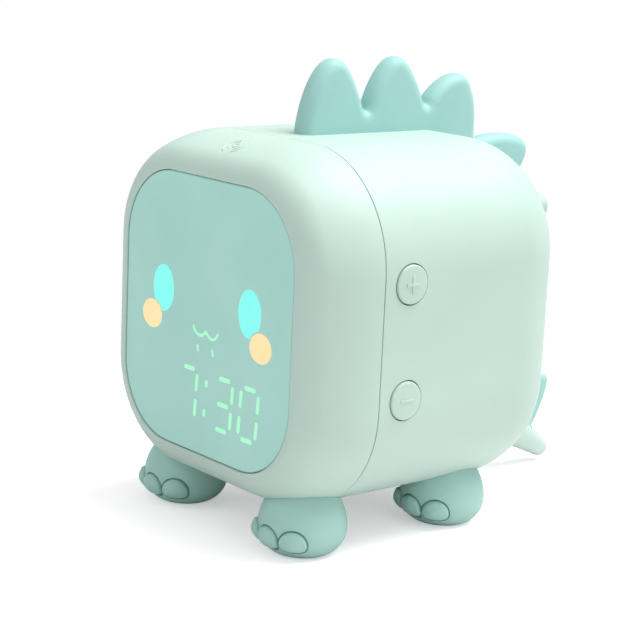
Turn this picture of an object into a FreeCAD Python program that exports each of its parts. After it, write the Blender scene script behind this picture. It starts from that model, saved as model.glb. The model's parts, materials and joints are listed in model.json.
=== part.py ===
import FreeCAD, Part
import Sketcher
import math
import os
import re

# Kids' alarm clock with a night light: a rounded block on four toed feet, with a spiked crest and a tail.
# Millimetres. X to the right, Y to the back, Z up. The display faces -Y and the soles rest on Z = 0.
# Heights named ...Rise are measured from the middle of the body, the others as their notes say.

doc = FreeCAD.newDocument("kids_alarm_clock")
sheet = doc.addObject("Spreadsheet::Sheet", "dims")
Vector = FreeCAD.Vector
nodes = []


# Driving dimensions, in millimetres and degrees. Heights are over or under the middle of the body.
sizes = {
    # Body
    "bodyWidth": 100.9,  # body, side to side
    "bodyHeight": 100.0,  # body, bottom to top
    "bodyDepth": 94.9,  # body, front to back
    "cornerRadius": 32.0,  # four long edges of the body
    "rearRadius": 20.2,  # rounding of the back
    "rimRadius": 9.9,  # tight part of the front rounding
    "rimAngle": 25.0,  # turn of the broad part of the front rounding
    "seamDepth": 21.7,  # front of the body to the seam
    "wall": 2.2,  # wall of both shells
    "seamGap": 0.35,  # shadow line at the seam
    "lipLength": 2.5,  # tongue of the rear shell into the front shell
    "lipThick": 1.05,  # thickness of that tongue
    "fitGap": 0.05,  # side clearance of pieces that locate each other
    "bodyClear": 11.4,  # soles to the underside of the body
    # Front panel
    "panelWidth": 77.4,  # panel, side to side
    "panelHeight": 78.0,  # panel, bottom to top
    "panelCorner": 21.3,  # panel corner radius
    "panelThick": 2.0,  # panel thickness
    "panelSink": 0.5,  # panel face behind the rim
    "panelGap": 0.35,  # gap round the panel
    "panelEase": 0.3,  # eased edge of the panel
    "ledgeWidth": 2.4,  # ledge behind the panel
    "ledgeThick": 2.0,  # thickness of the ledge
    # Face and digits, on the panel
    "eyeX": 20.2,  # eye centre from the middle
    "eyeRise": 5.2,  # eye centre height
    "eyeWide": 10.0,  # eye width
    "eyeTall": 13.4,  # eye height
    "cheekX": 25.5,  # cheek centre from the middle
    "cheekDrop": 3.2,  # cheek centre below the middle
    "cheekWide": 9.6,  # cheek width
    "cheekTall": 8.3,  # cheek height
    "cheekGap": 0.7,  # dark gap between an eye and its cheek
    "mouthX": 0.6,  # mouth centre
    "mouthDrop": 4.0,  # mouth centre below the middle
    "mouthWide": 12.0,  # mouth width
    "mouthTall": 3.0,  # mouth window height
    "dotPitch": 7.0,  # distance between the two dots under the mouth
    "dotDrop": 8.9,  # dots below the middle
    "dotTall": 2.1,  # dot height
    "dotWide": 1.2,  # dot width
    "digitDrop": 15.2,  # top stroke of the digits below the middle
    "digitTall": 14.6,  # top stroke to bottom stroke
    "digitWide": 7.7,  # left strokes to right strokes
    "digitPitch": 11.6,  # neighbouring digits
    "digitGap": 16.6,  # digits on either side of the colon
    "digitX": 21.7,  # last digit's top stroke from the middle
    "strokeLength": 5.1,  # length of a stroke
    "strokeWide": 1.3,  # width of a stroke
    "digitSlant": 4.0,  # slant of the digits
    "windowGap": 0.1,  # clearance of a light guide in its window
    "maskThick": 5.0,  # light mask, front to back
    "guideThick": 3.0,  # light guides, front to back
    # Display board
    "boardThick": 1.6,  # main and display boards
    "boardInset": 3.0,  # display board inside the panel's outline
    "boardEar": 43.4,  # reach of the display board's ears
    "earWide": 7.0,  # width of an ear
    "earReach": 40.2,  # ear screws from the middle
    "earBossRadius": 2.8,  # bosses under the ears
    "ledSize": 2.8,  # lamp chips
    "ledTall": 0.9,  # height of a lamp chip
    # Keys
    "keySeam": 9.15,  # key centres behind the seam
    "upperKeyRise": 16.1,  # upper key
    "lowerKeyDrop": 15.6,  # lower key below the middle
    "keyRadius": 5.35,  # key cap radius
    "keyGap": 0.35,  # running gap round a key
    "keyProud": 0.7,  # key face outside the wall
    "keyCrown": 0.4,  # rounded edge of a key
    "keyTravel": 0.6,  # key travel
    "flangeRadius": 6.9,  # flange that holds a key in
    "flangeThick": 0.9,  # thickness of that flange
    "flangeGap": 0.2,  # flange to wall at rest
    "stemRadius": 1.8,  # key stem
    "stemLength": 3.5,  # key stem length
    "signLength": 4.8,  # arms of the raised signs
    "signWide": 1.0,  # width of the raised signs
    "signTall": 0.25,  # height of the raised signs
    "plungerRadius": 1.2,  # switch plunger
    "plungerGap": 0.1,  # plunger in its switch
    "plungerOut": 1.1,  # plunger outside its switch
    "plungerIn": 1.5,  # plunger inside its switch
    "plungerRoom": 0.9,  # room under the plunger
    "switchSize": 6.0,  # switch housing
    "switchTall": 3.5,  # height of a switch housing
    "keyBoardThick": 1.2,  # key boards
    "keyBoardWide": 18.0,  # key board, front to back
    "keyBoardTall": 54.0,  # key board, bottom to top
    "keyBoardShift": 3.0,  # key board centre behind the keys
    "keyPostRadius": 2.6,  # posts of a key board
    "keyPostRise": 23.5,  # posts from the middle
    "keyPostBack": 6.5,  # posts behind the keys
    # Screws
    "screwRadius": 1.4,  # screw shank
    "screwHead": 2.7,  # screw head radius
    "headTall": 1.8,  # screw head height
    "screwGap": 0.1,  # screw in its hole
    "smallScrew": 0.9,  # board screw shank
    "smallHead": 1.8,  # board screw head radius
    "smallHeadTall": 1.2,  # board screw head height
    "smallBite": 5.0,  # board screws in their posts
    "holeRoom": 1.0,  # blind holes beyond the screw's end
    # Shell posts
    "postIn": 14.95,  # shell posts in from the sides
    "postDown": 18.5,  # shell posts in from the top and the bottom
    "postRadius": 3.6,  # front bosses and rear posts
    "wellRadius": 2.9,  # screw wells in the back
    "postFloor": 3.0,  # post end that the head bears on
    "bossReach": 14.5,  # front bosses behind the ledge
    # Feet
    "footIn": 22.65,  # feet in from the sides
    "frontFootIn": 15.75,  # front feet behind the front
    "rearFootIn": 26.75,  # rear feet before the back
    "footRadius": 12.45,  # widest radius of a foot
    "footBelly": 7.2,  # height of the widest part
    "soleRadius": 7.5,  # flat sole
    "footShoulder": 15.0,  # radius of the shoulder curve
    "footTall": 18.6,  # foot before the body trims it
    "toeAngle": 39.0,  # outer toes from the middle toe
    "toeWide": 5.4,  # half width of a toe
    "toeTall": 4.1,  # half height of a toe
    "toeDeep": 3.4,  # half depth of a toe
    "toeRise": 6.1,  # toe centres above the floor
    "toeOut": 10.0,  # toe centres from the foot's axis
    "toeGroove": 0.45,  # width of the groove round a toe
    "grooveFloor": 11.2,  # radius at the bottom of the groove
    "padRadius": 5.0,  # flat seats of the trim screws
    "padTall": 1.6,  # height of those seats
    "trimScrew": 9.0,  # length of the trim screws
    # Crest
    "crestThick": 7.6,  # crest, side to side
    "crestRound": 3.2,  # rounding of the crest's edges
    "crestScrewFirst": 49.45,  # front crest screw before the back
    "crestScrewSecond": 27.45,  # back crest screw before the back
    "firstTipBack": 53.85,  # first spike, tip centre before the back
    "firstTipRise": 17.4,  # and its height over the body's top
    "firstTip": 3.6,  # and its radius
    "firstShoulderBack": 53.75,  # first spike, shoulder centre before the back
    "firstShoulderRise": 7.2,  # and its height over the body's top
    "firstShoulder": 9.1,  # and its radius
    "secondTipBack": 30.35,
    "secondTipRise": 17.4,
    "secondTip": 4.0,
    "thirdTipBack": 4.45,
    "thirdTipRise": 11.0,
    "thirdTip": 5.0,
    "fourthTipBack": -19.35,
    "fourthTipRise": -8.0,
    "fourthTip": 4.5,
    "fourthShoulderBack": -12.05,
    "fourthShoulderRise": -10.7,
    "fourthShoulder": 8.8,
    "fifthTipBack": -18.5,
    "fifthTipRise": -41.5,
    "fifthTip": 4.0,
    "fifthShoulderBack": -11.0,
    "fifthShoulderRise": -38.5,
    "fifthShoulder": 8.5,
    "valleyRadius": 0.9,  # radius between two spikes
    "valleyTurn": 34.0,  # turn of the valley over the rounded back
    "webOut": 6.9,  # crest between two spikes, above the body
    "crestFront": 63.4,  # front of the crest before the back
    "crestEnd": -60.0,  # lower end of the crest, from the body's top
    # Tail
    "tailScrewRise": -28.5,  # tail screw
    "tailTilt": 31.2,  # fall of the tail's axis
    "tailReach": 45.35,  # tail tip behind the back
    "tailTip": 3.1,  # tip radius
    "tailRoot": 11.9,  # radius at the hidden root
    "tailLength": 61.9,  # root to tip
    "tailSink": 8.0,  # root inside the back
    "tailRise": -26.35,  # axis at the root
    "tailFinThick": 5.2,  # fin on the tail
    "tailFinRound": 1.7,  # rounding of that fin
    "finFoot": 2.0,  # fin's ends off the tail's axis
    "finStart": 13.0,  # front of the fin from the tail's root
    "finFirst": 25.0,  # its first spike from the root
    "finFirstTip": 2.4,  # and that spike's tip radius
    "finOut": 19.5,  # tip centres off the tail's axis
    "finDip": 31.0,  # valley between its spikes from the root
    "finDipOut": 11.6,  # and off the axis
    "finDipRadius": 1.0,  # and its radius
    "finSecond": 47.5,  # its second spike from the root
    "finSecondTip": 2.2,  # and that spike's tip radius
    "finEnd": 50.5,  # back of the fin from the root
    # Battery, speaker, port
    "cellRadius": 9.2,  # rechargeable cell
    "cellLength": 50.0,  # length of the cell
    "cellDrop": 33.0,  # cell axis below the middle
    "cellY": -5.0,  # cell axis from the middle
    "cradleWall": 2.0,  # walls of the cradle
    "cradleBase": 34.0,  # foot of the cradle
    "mainWide": 62.0,  # main board width
    "mainDeep": 30.0,  # main board depth
    "mainDrop": 31.5,  # top of the main board below the middle
    "mainBack": 3.0,  # main board to the back wall
    "mainPost": 2.4,  # posts of the main board
    "mainPostX": 16.0,  # those posts from the middle
    "mainPostY": 4.0,  # those posts from the board's edges
    "portX": 24.0,  # port from the middle
    "portWide": 9.0,  # port width
    "portTall": 3.2,  # port height
    "portDeep": 7.6,  # port depth
    "portWall": 0.35,  # metal of the port
    "portGap": 0.2,  # gap round the port
    "portSink": 0.6,  # port mouth below the surface
    "speakerX": 18.7,  # speaker from the middle
    "speakerRise": 3.0,  # speaker centre
    "speakerRadius": 12.0,  # speaker flange
    "speakerDeep": 9.0,  # speaker depth
    "magnetRadius": 7.0,  # speaker magnet
    "ringWide": 2.4,  # retaining ring
    "grilleHole": 0.9,  # radius of a sound hole
    "grillePitch": 3.4,  # rings of sound holes
    # Touch pad under the top
    "touchWide": 14.0,  # touch foil, side to side
    "touchDeep": 12.0,  # touch foil, front to back
    "touchThick": 0.3,  # touch foil
}
# The middle of the body, from the soles
sizes["bodyRise"] = sizes["bodyClear"] + sizes["bodyHeight"] / 2
for row, (name, value) in enumerate(sizes.items(), 1):
    sheet.set("A%d" % row, name)
    sheet.set("B%d" % row, str(value))
    sheet.setAlias("B%d" % row, name)
doc.recompute()


def v(name):
    return float(sheet.get(name))


plainWords = ("sin", "cos", "sqrt", "deg")


# Writes the sheet's name before each word of an expression.
def bound(text):
    def full(match):
        word = match.group(0)
        return word if word in plainWords else "dims." + word

    return re.sub(r"[A-Za-z]\w*", full, text)


def bind(item, **measures):
    for name, text in measures.items():
        item.setExpression(name.replace("_", "."), bound(text))
    return item


def place(item, x, y, z):
    return bind(item, Placement_Base_x=x, Placement_Base_y=y, Placement_Base_z=z)


turns = {
    "z": FreeCAD.Rotation(),
    "-z": FreeCAD.Rotation(Vector(1, 0, 0), 180),
    "x": FreeCAD.Rotation(Vector(0, 1, 0), 90),
    "-x": FreeCAD.Rotation(Vector(0, 1, 0), -90),
    "y": FreeCAD.Rotation(Vector(1, 0, 0), -90),
    "-y": FreeCAD.Rotation(Vector(1, 0, 0), 90),
}


def box(name, wide, deep, tall, x, y, z):
    item = doc.addObject("Part::Box", name)
    bind(item, Length=wide, Width=deep, Height=tall)
    return place(item, x, y, z)


# A cylinder from its end at x, y, z along one of the six directions.
def rod(name, radius, length, x, y, z, along="z"):
    item = doc.addObject("Part::Cylinder", name)
    bind(item, Radius=radius, Height=length)
    item.Placement = FreeCAD.Placement(Vector(), turns[along])
    return place(item, x, y, z)


def fuse(name, *pieces):
    item = doc.addObject("Part::MultiFuse", name)
    item.Shapes = list(pieces)
    return item


def group(name, *pieces):
    item = doc.addObject("Part::Compound", name)
    item.Links = list(pieces)
    return item


def cut(name, base, *tools):
    item = doc.addObject("Part::Cut", name)
    item.Base = base
    item.Tool = tools[0] if len(tools) == 1 else fuse(name + "_tools", *tools)
    return item


def common(name, first, second):
    item = doc.addObject("Part::Common", name)
    item.Base = first
    item.Tool = second
    return item


def formed(name, shape):
    item = doc.addObject("Part::Feature", name)
    item.Shape = shape
    return item


# A finished sub-part: its label names its file, and the whole object is centred front to back.
def node(label, item):
    item.Label = label
    item.Placement = FreeCAD.Placement(Vector(0, -v("tailReach") / 2, 0), FreeCAD.Rotation())
    bind(item, Placement_Base_y="-tailReach / 2")
    nodes.append(item)
    return item


front = -v("bodyDepth") / 2
back = v("bodyDepth") / 2
seam = front + v("seamDepth")
middle = v("bodyRise")
half = v("bodyWidth") / 2
wall = v("wall")


# A rounded rectangle about the body's middle, in the plane y. Its wire starts half way up its right side.
def roundedOutline(wide, tall, radius, y):
    sideX = wide / 2
    topZ = tall / 2
    cornerX = sideX - radius
    cornerZ = topZ - radius
    edges = []

    def point(x, z):
        return Vector(x, y, middle + z)

    def corner(signX, signZ, startX, startZ, endX, endZ):
        slope = radius * math.sqrt(0.5)
        on = point(signX * (cornerX + slope), signZ * (cornerZ + slope))
        edges.append(Part.Arc(point(startX, startZ), on, point(endX, endZ)).toShape())

    def side(startX, startZ, endX, endZ):
        edges.append(Part.LineSegment(point(startX, startZ), point(endX, endZ)).toShape())

    side(sideX, 0, sideX, cornerZ)
    corner(1, 1, sideX, cornerZ, cornerX, topZ)
    side(cornerX, topZ, -cornerX, topZ)
    corner(-1, 1, -cornerX, topZ, -sideX, cornerZ)
    side(-sideX, cornerZ, -sideX, -cornerZ)
    corner(-1, -1, -sideX, -cornerZ, -cornerX, -topZ)
    side(-cornerX, -topZ, cornerX, -topZ)
    corner(1, -1, cornerX, -topZ, sideX, -cornerZ)
    side(sideX, -cornerZ, sideX, 0)
    return Part.Wire(edges)


def roundedBar(wide, tall, radius, y0, y1):
    return Part.Face(roundedOutline(wide, tall, radius, y0)).extrude(Vector(0, y1 - y0, 0))


# The body's outline, drawn in by an inset, from y0 to y1.
def bodyBar(inset, y0, y1):
    wide = v("bodyWidth") - 2 * inset
    tall = v("bodyHeight") - 2 * inset
    return roundedBar(wide, tall, v("cornerRadius") - inset, y0, y1)


# The panel's outline, drawn in by an inset, from y0 to y1.
def panelBar(inset, y0, y1):
    wide = v("panelWidth") - 2 * inset
    tall = v("panelHeight") - 2 * inset
    return roundedBar(wide, tall, v("panelCorner") - inset, y0, y1)


# The front of the body before the seam: a broad arc from the seam, then a tight one to the front plane.
# An inset gives the same form one wall further in, on the same arc centres.
def frontForm(inset):
    angle = math.radians(v("rimAngle"))
    tight = v("rimRadius")
    broad = (v("seamDepth") - tight * (1 - math.sin(angle))) / math.sin(angle)
    broadX = half - broad
    tightX = broadX + (broad - tight) * math.cos(angle)
    tightY = seam - (broad - tight) * math.sin(angle)

    def onBroad(turn):
        reach = broad - inset
        return Vector(broadX + reach * math.cos(turn), seam - reach * math.sin(turn), middle)

    def onTight(turn):
        reach = tight - inset
        return Vector(tightX + reach * math.cos(turn), tightY - reach * math.sin(turn), middle)

    start = onBroad(0)
    join = onBroad(angle)
    end = onTight(math.pi / 2)
    inner = Vector(tightX, seam, middle)
    section = Part.Wire([
        Part.Arc(start, onBroad(angle / 2), join).toShape(),
        Part.Arc(join, onTight((angle + math.pi / 2) / 2), end).toShape(),
        Part.LineSegment(end, inner).toShape(),
        Part.LineSegment(inner, start).toShape(),
    ])
    wide = v("bodyWidth") - 2 * inset
    tall = v("bodyHeight") - 2 * inset
    path = roundedOutline(wide, tall, v("cornerRadius") - inset, seam)
    ring = path.makePipeShell([section], True, False)
    core = bodyBar(half - tightX, front + inset, seam)
    return ring.fuse(core).removeSplitter()


# The body behind the seam, with its back edge rounded.
def rearForm(inset):
    end = back - inset
    bar = bodyBar(inset, seam, end)
    edges = [edge for edge in bar.Edges if all(abs(point.Point.y - end) < 0.001 for point in edge.Vertexes)]
    return bar.makeFillet(v("rearRadius") - inset, edges)


outerFront = frontForm(0)
outerRear = rearForm(0)
innerFront = frontForm(wall)
innerRear = rearForm(wall)
bodySolid = outerFront.fuse(outerRear).removeSplitter()
hollow = innerFront.fuse(innerRear).removeSplitter()
bodyForm = formed("body_form", bodySolid)


def cylinder(radius, x, y, z, direction, length):
    return Part.makeCylinder(radius, length, Vector(x, y, middle + z), Vector(*direction))


ledgeBack = front + v("panelSink") + v("panelThick") + v("ledgeThick")
panelBack = front + v("panelSink") + v("panelThick")
postX = half - v("postIn")
postZ = v("bodyHeight") / 2 - v("postDown")
postSpots = [(sx * postX, sz * postZ) for sx in (1, -1) for sz in (1, -1)]
earSpots = [(v("earReach"), 0), (-v("earReach"), 0), (0, v("earReach")), (0, -v("earReach"))]
boardFront = panelBack + v("maskThick")
earBite = v("maskThick") - v("ledgeThick") + v("ledgeThick") / 4
bossEnd = ledgeBack + v("bossReach")
keyY = seam + v("keySeam")
footX = half - v("footIn")
footSpots = [(sx * footX, y) for sx in (1, -1) for y in (front + v("frontFootIn"), back - v("rearFootIn"))]
crestSpots = (back - v("crestScrewFirst"), back - v("crestScrewSecond"))
lowest = middle - v("bodyHeight") / 2 - wall


# Height of the body's outer bottom over the floor, at one foot's axis.
def bottomAt(x):
    cornerX = half - v("cornerRadius")
    run = max(abs(x) - cornerX, 0)
    return middle - v("bodyHeight") / 2 + v("cornerRadius") - math.sqrt(v("cornerRadius") ** 2 - run ** 2)


seatTop = bottomAt(footX) + wall + v("padTall")


# A flat seat inside the bottom for one foot's screw, trimmed to the outside of the body.
def footSeat(x, y):
    disc = Part.makeCylinder(v("padRadius"), seatTop - lowest, Vector(x, y, lowest))
    return disc.common(bodySolid)


def footHole(x, y):
    return Part.makeCylinder(v("screwRadius") + v("screwGap"), seatTop - lowest + wall, Vector(x, y, lowest))


# Crest screw holes up through the top wall, and the tail screw's through the back wall.
def crestHoles():
    radius = v("screwRadius") + v("screwGap")
    low = v("bodyHeight") / 2 - 2 * wall
    return [
        cylinder(radius, 0, y, low, (0, 0, 1), wall + v("trimScrew") + v("holeRoom") + wall)
        for y in crestSpots]


# Front shell: rim, ledge behind the panel, screw bosses and the rebate for the rear shell's tongue.
def frontShell():
    shape = outerFront.cut(innerFront.common(bodyBar(wall, ledgeBack, seam)))
    gap = v("panelGap")
    recess = panelBar(-gap, front - 1, panelBack)
    ledge = v("ledgeWidth")
    window = panelBar(ledge, front - 1, ledgeBack + 1)
    rebate = bodyBar(v("wall") - v("lipThick") - v("fitGap"), seam - v("lipLength"), seam + 1)
    shadow = bodyBar(-wall, seam - v("seamGap"), seam + 1)
    shape = shape.cut(recess).cut(window).cut(rebate.fuse(shadow))
    adds = []
    holes = []
    for x, z in postSpots:
        adds.append(cylinder(v("postRadius"), x, ledgeBack - 1, z, (0, 1, 0), v("bossReach") + 1))
        depth = v("trimScrew") + v("holeRoom")
        holes.append(cylinder(v("screwRadius") + v("screwGap"), x, bossEnd - depth, z, (0, 1, 0), depth + 1))
    drill = v("smallScrew") + v("screwGap")
    for x, z in earSpots:
        adds.append(cylinder(v("earBossRadius"), x, ledgeBack - 1, z, (0, 1, 0), boardFront - ledgeBack + 1))
        holes.append(cylinder(drill, x, boardFront - earBite, z, (0, 1, 0), earBite + 1))
    trim = [piece.common(bodySolid) for piece in adds]
    for x, y in footSpots:
        if y < 0:
            trim.append(footSeat(x, y))
            holes.append(footHole(x, y))
    shape = shape.fuse(trim).cut(recess).cut(window).cut(rebate).cut(holes)
    return shape.removeSplitter()


# Sound holes: one in the middle and rings of six, twelve and eighteen.
def soundHoles():
    holes = []
    for ring in range(3):
        count = max(6 * ring, 1)
        for step in range(count):
            turn = 2 * math.pi * step / count
            reach = ring * v("grillePitch")
            x = -v("speakerX") + reach * math.cos(turn)
            z = v("speakerRise") + reach * math.sin(turn)
            holes.append(cylinder(v("grilleHole"), x, back - 2 * wall, z, (0, 1, 0), 4 * wall))
    return holes


portRise = -v("mainDrop") + v("portTall") / 2


# A flat-sided oval through the back wall for the charging port.
def portHole(gap, y0, y1):
    radius = v("portTall") / 2 + gap
    run = v("portWide") / 2 - v("portTall") / 2
    ends = [cylinder(radius, v("portX") + sign * run, y0, portRise, (0, 1, 0), y1 - y0) for sign in (1, -1)]
    low = Vector(v("portX") - run, y0, middle + portRise - radius)
    return ends[0].fuse([ends[1], Part.makeBox(2 * run, y1 - y0, 2 * radius, low)])


mainBackY = back - wall - v("mainBack")
mainMidY = mainBackY - v("mainDeep") / 2
mainUnder = middle - v("mainDrop") - v("boardThick")
mainSpots = [
    (sign * v("mainPostX"), mainMidY + side * (v("mainDeep") / 2 - v("mainPostY")))
    for sign in (1, -1) for side in (1, -1)
]
keyBoardIn = (
    half - wall - v("flangeGap") - v("flangeThick") - v("stemLength") - v("plungerOut") - v("switchTall"))


# Rear shell: tongue, key holes, sound holes, port, screw wells, seats and posts.
def rearShell():
    shape = outerRear.cut(innerRear)
    tongue = bodyBar(wall - v("lipThick"), seam - v("lipLength"), seam + 1)
    tongue = tongue.cut(bodyBar(wall, seam - v("lipLength") - 1, seam + 2))
    trim = [tongue]
    holes = soundHoles() + crestHoles()
    holes.append(portHole(v("portGap"), back - v("portDeep") - v("portSink"), back + 1))
    drill = v("smallScrew") + v("screwGap")
    depth = v("smallBite") + v("holeRoom")
    for side in (1, -1):
        for z in (v("upperKeyRise"), -v("lowerKeyDrop")):
            opening = v("keyRadius") + v("keyGap")
            holes.append(cylinder(opening, side * (half - 2 * wall), keyY, z, (side, 0, 0), 4 * wall))
            room = v("flangeRadius") + v("keyGap")
            holes.append(cylinder(room, side * (half - 3 * wall), keyY, z, (side, 0, 0), 2 * wall))
        for z in (v("keyPostRise"), -v("keyPostRise")):
            y = keyY + v("keyPostBack")
            post = cylinder(v("keyPostRadius"), side * keyBoardIn, y, z, (side, 0, 0), half - keyBoardIn)
            trim.append(post.common(bodySolid))
            holes.append(cylinder(drill, side * (keyBoardIn - 1), y, z, (side, 0, 0), depth + 1))
    for x, z in postSpots:
        trim.append(cylinder(v("postRadius"), x, bossEnd, z, (0, 1, 0), back - bossEnd).common(bodySolid))
        holes.append(cylinder(v("wellRadius"), x, bossEnd + v("postFloor"), z, (0, 1, 0), back))
        through = v("screwRadius") + v("screwGap")
        holes.append(cylinder(through, x, bossEnd - 1, z, (0, 1, 0), v("postFloor") + 2))
    for x, y in footSpots:
        if y > 0:
            trim.append(footSeat(x, y))
            holes.append(footHole(x, y))
    for x, y in mainSpots:
        post = Part.makeCylinder(v("mainPost"), mainUnder - lowest, Vector(x, y, lowest))
        trim.append(post.common(bodySolid))
        holes.append(Part.makeCylinder(drill, depth + 1, Vector(x, y, mainUnder - depth)))
    tailHole = cylinder(
        v("screwRadius") + v("screwGap"), 0, back - 2 * wall, v("tailScrewRise"), (0, 1, 0), 4 * wall)
    holes.append(tailHole)
    return shape.fuse(trim).cut(holes).removeSplitter()


node("front_shell", formed("front_shell_form", frontShell()))
node("rear_shell", formed("rear_shell_form", rearShell()))


def originPlane(body, role):
    return [item for item in body.Origin.OriginFeatures if item.Role == role][0]


def newBody(name):
    return doc.addObject("PartDesign::Body", name)


def newSketch(body, name, role):
    sketch = body.newObject("Sketcher::SketchObject", name)
    sketch.AttachmentSupport = (originPlane(body, role), [""])
    sketch.MapMode = "FlatFace"
    return sketch


def constrain(sketch, kind, *values):
    return sketch.addConstraint(Sketcher.Constraint(kind, *values))


# A sketch's measure with a name of its own, taken from the sheet.
def measure(sketch, name, source, kind, *values):
    index = constrain(sketch, kind, *values, v(source))
    sketch.renameConstraint(index, name)
    sketch.setExpression("Constraints." + name, bound(source))


def chain(sketch, count):
    for index in range(count):
        constrain(sketch, "Coincident", index, 2, (index + 1) % count, 1)


def turned(body, sketch):
    feature = body.newObject("PartDesign::Revolution", sketch.Name + "_turned")
    feature.Profile = sketch
    feature.ReferenceAxis = (sketch, ["V_Axis"])
    feature.Angle = 360
    return feature


# A rounded rectangle about the body's middle, drawn on the XZ plane, whose normal is -Y.
def roundedSketch(body, name, wide, tall, radius, before):
    sketch = newSketch(body, name, "XZ_Plane")
    bind(sketch, AttachmentOffset_Base_y="bodyRise", AttachmentOffset_Base_z=before)
    x = v(wide) / 2
    y = v(tall) / 2
    r = v(radius)
    normal = Vector(0, 0, 1)
    inX = x - r
    inY = y - r
    corners = [(inX, inY, 0), (-inX, inY, 90), (-inX, -inY, 180), (inX, -inY, 270)]
    lines = [((inX, y), (-inX, y)), ((-x, inY), (-x, -inY)), ((-inX, -y), (inX, -y)), ((x, -inY), (x, inY))]
    for index in range(4):
        cx, cy, turn = corners[index]
        start = math.radians(turn)
        arc = Part.ArcOfCircle(Part.Circle(Vector(cx, cy, 0), normal, r), start, start + math.pi / 2)
        sketch.addGeometry(arc, False)
        (ax, ay), (bx, by) = lines[index]
        sketch.addGeometry(Part.LineSegment(Vector(ax, ay, 0), Vector(bx, by, 0)), False)
    for index in range(8):
        constrain(sketch, "Tangent", index, 2, (index + 1) % 8, 1)
    for index in (2, 4, 6):
        constrain(sketch, "Equal", 0, index)
    for index in (1, 5):
        constrain(sketch, "Horizontal", index)
        constrain(sketch, "Vertical", index + 2)
    constrain(sketch, "Symmetric", 1, 1, 5, 1, -1, 1)
    measure(sketch, "wide", wide, "DistanceX", 3, 1, 7, 1)
    measure(sketch, "tall", tall, "DistanceY", 5, 1, 1, 1)
    measure(sketch, "corner", radius, "Radius", 0)
    return sketch


def padded(body, sketch, length):
    feature = body.newObject("PartDesign::Pad", sketch.Name + "_pad")
    feature.Profile = sketch
    return bind(feature, Length=length)


panelBody = newBody("panel_body")
panelSketch = roundedSketch(
    panelBody, "panel_outline", "panelWidth", "panelHeight", "panelCorner",
    "bodyDepth / 2 - panelSink - panelThick")
panelPad = padded(panelBody, panelSketch, "panelThick")
doc.recompute()
panelEase = panelBody.newObject("PartDesign::Chamfer", "panel_eased_edge")
panelEase.Base = (panelPad, ["Face%d" % (1 + max(
    range(len(panelPad.Shape.Faces)), key=lambda index: -panelPad.Shape.Faces[index].CenterOfMass.y))])
bind(panelEase, Size="panelEase")
node("front_panel", panelBody)


# Lit windows and their light guides. A clearance grows each outline.
def oval(x, z, wide, tall, grow, y0, y1):
    major = max(wide, tall) / 2 + grow
    minor = min(wide, tall) / 2 + grow
    centre = Vector(x, y0, middle + z)
    upright = tall >= wide
    axis = Vector(0, 0, 1) if upright else Vector(1, 0, 0)
    across = Vector(1, 0, 0) if upright else Vector(0, 0, 1)
    ellipse = Part.Ellipse(centre + axis * major, centre + across * minor, centre)
    return Part.Face(Part.Wire(ellipse.toShape())).extrude(Vector(0, y1 - y0, 0))


def bar(x, z, wide, tall, slant, grow, y0, y1):
    low = Vector(x - wide / 2 - grow, y0, middle + z - tall / 2 - grow)
    solid = Part.makeBox(wide + 2 * grow, y1 - y0, tall + 2 * grow, low)
    solid.rotate(Vector(x, y0, middle + z), Vector(0, 1, 0), slant)
    return solid


def eyes(grow, y0, y1):
    gap = v("cheekGap") - grow
    solids = []
    for side in (1, -1):
        eye = oval(side * v("eyeX"), v("eyeRise"), v("eyeWide"), v("eyeTall"), grow, y0, y1)
        x = side * v("cheekX")
        bite = oval(x, -v("cheekDrop"), v("cheekWide"), v("cheekTall"), gap, y0 - 1, y1 + 1)
        solids.append(eye.cut(bite))
    return solids


def cheeks(grow, y0, y1):
    return [
        oval(side * v("cheekX"), -v("cheekDrop"), v("cheekWide"), v("cheekTall"), grow, y0, y1)
        for side in (1, -1)]


def mouth(grow, y0, y1):
    solids = [oval(v("mouthX"), -v("mouthDrop"), v("mouthWide"), v("mouthTall"), grow, y0, y1)]
    for side in (1, -1):
        x = v("mouthX") + side * v("dotPitch") / 2
        solids.append(bar(x, -v("dotDrop"), v("dotWide"), v("dotTall"), 0, grow, y0, y1))
    return solids


# Seven strokes for each digit, leaning to the right, and the colon.
def strokes(grow, y0, y1):
    lean = math.tan(math.radians(v("digitSlant")))
    last = v("digitX")
    tops = [last, last - v("digitPitch"), last - v("digitPitch") - v("digitGap")]
    tops.append(tops[2] - v("digitPitch"))
    solids = []
    for top in tops:
        for level in range(3):
            drop = level * v("digitTall") / 2
            z = -v("digitDrop") - drop
            solids.append(bar(top - lean * drop, z, v("strokeLength"), v("strokeWide"), 0, grow, y0, y1))
        for level in (0.5, 1.5):
            drop = level * v("digitTall") / 2
            for side in (1, -1):
                x = top - lean * drop + side * v("digitWide") / 2
                z = -v("digitDrop") - drop
                solids.append(bar(x, z, v("strokeWide"), v("strokeLength"), v("digitSlant"), grow, y0, y1))
    colonX = (tops[1] + tops[2]) / 2
    for level in (0.4, 1.55):
        drop = level * v("digitTall") / 2
        z = -v("digitDrop") - drop
        solids.append(bar(colonX - lean * drop, z, v("strokeWide"), v("strokeWide"), 0, grow, y0, y1))
    return solids


def lightMask():
    inset = v("ledgeWidth") + 4 * v("fitGap")
    plate = panelBar(inset, panelBack, boardFront)
    grow = v("windowGap")
    y0 = panelBack - 1
    y1 = boardFront + 1
    return plate.cut(eyes(grow, y0, y1) + cheeks(grow, y0, y1) + mouth(grow, y0, y1) + strokes(grow, y0, y1))


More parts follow.
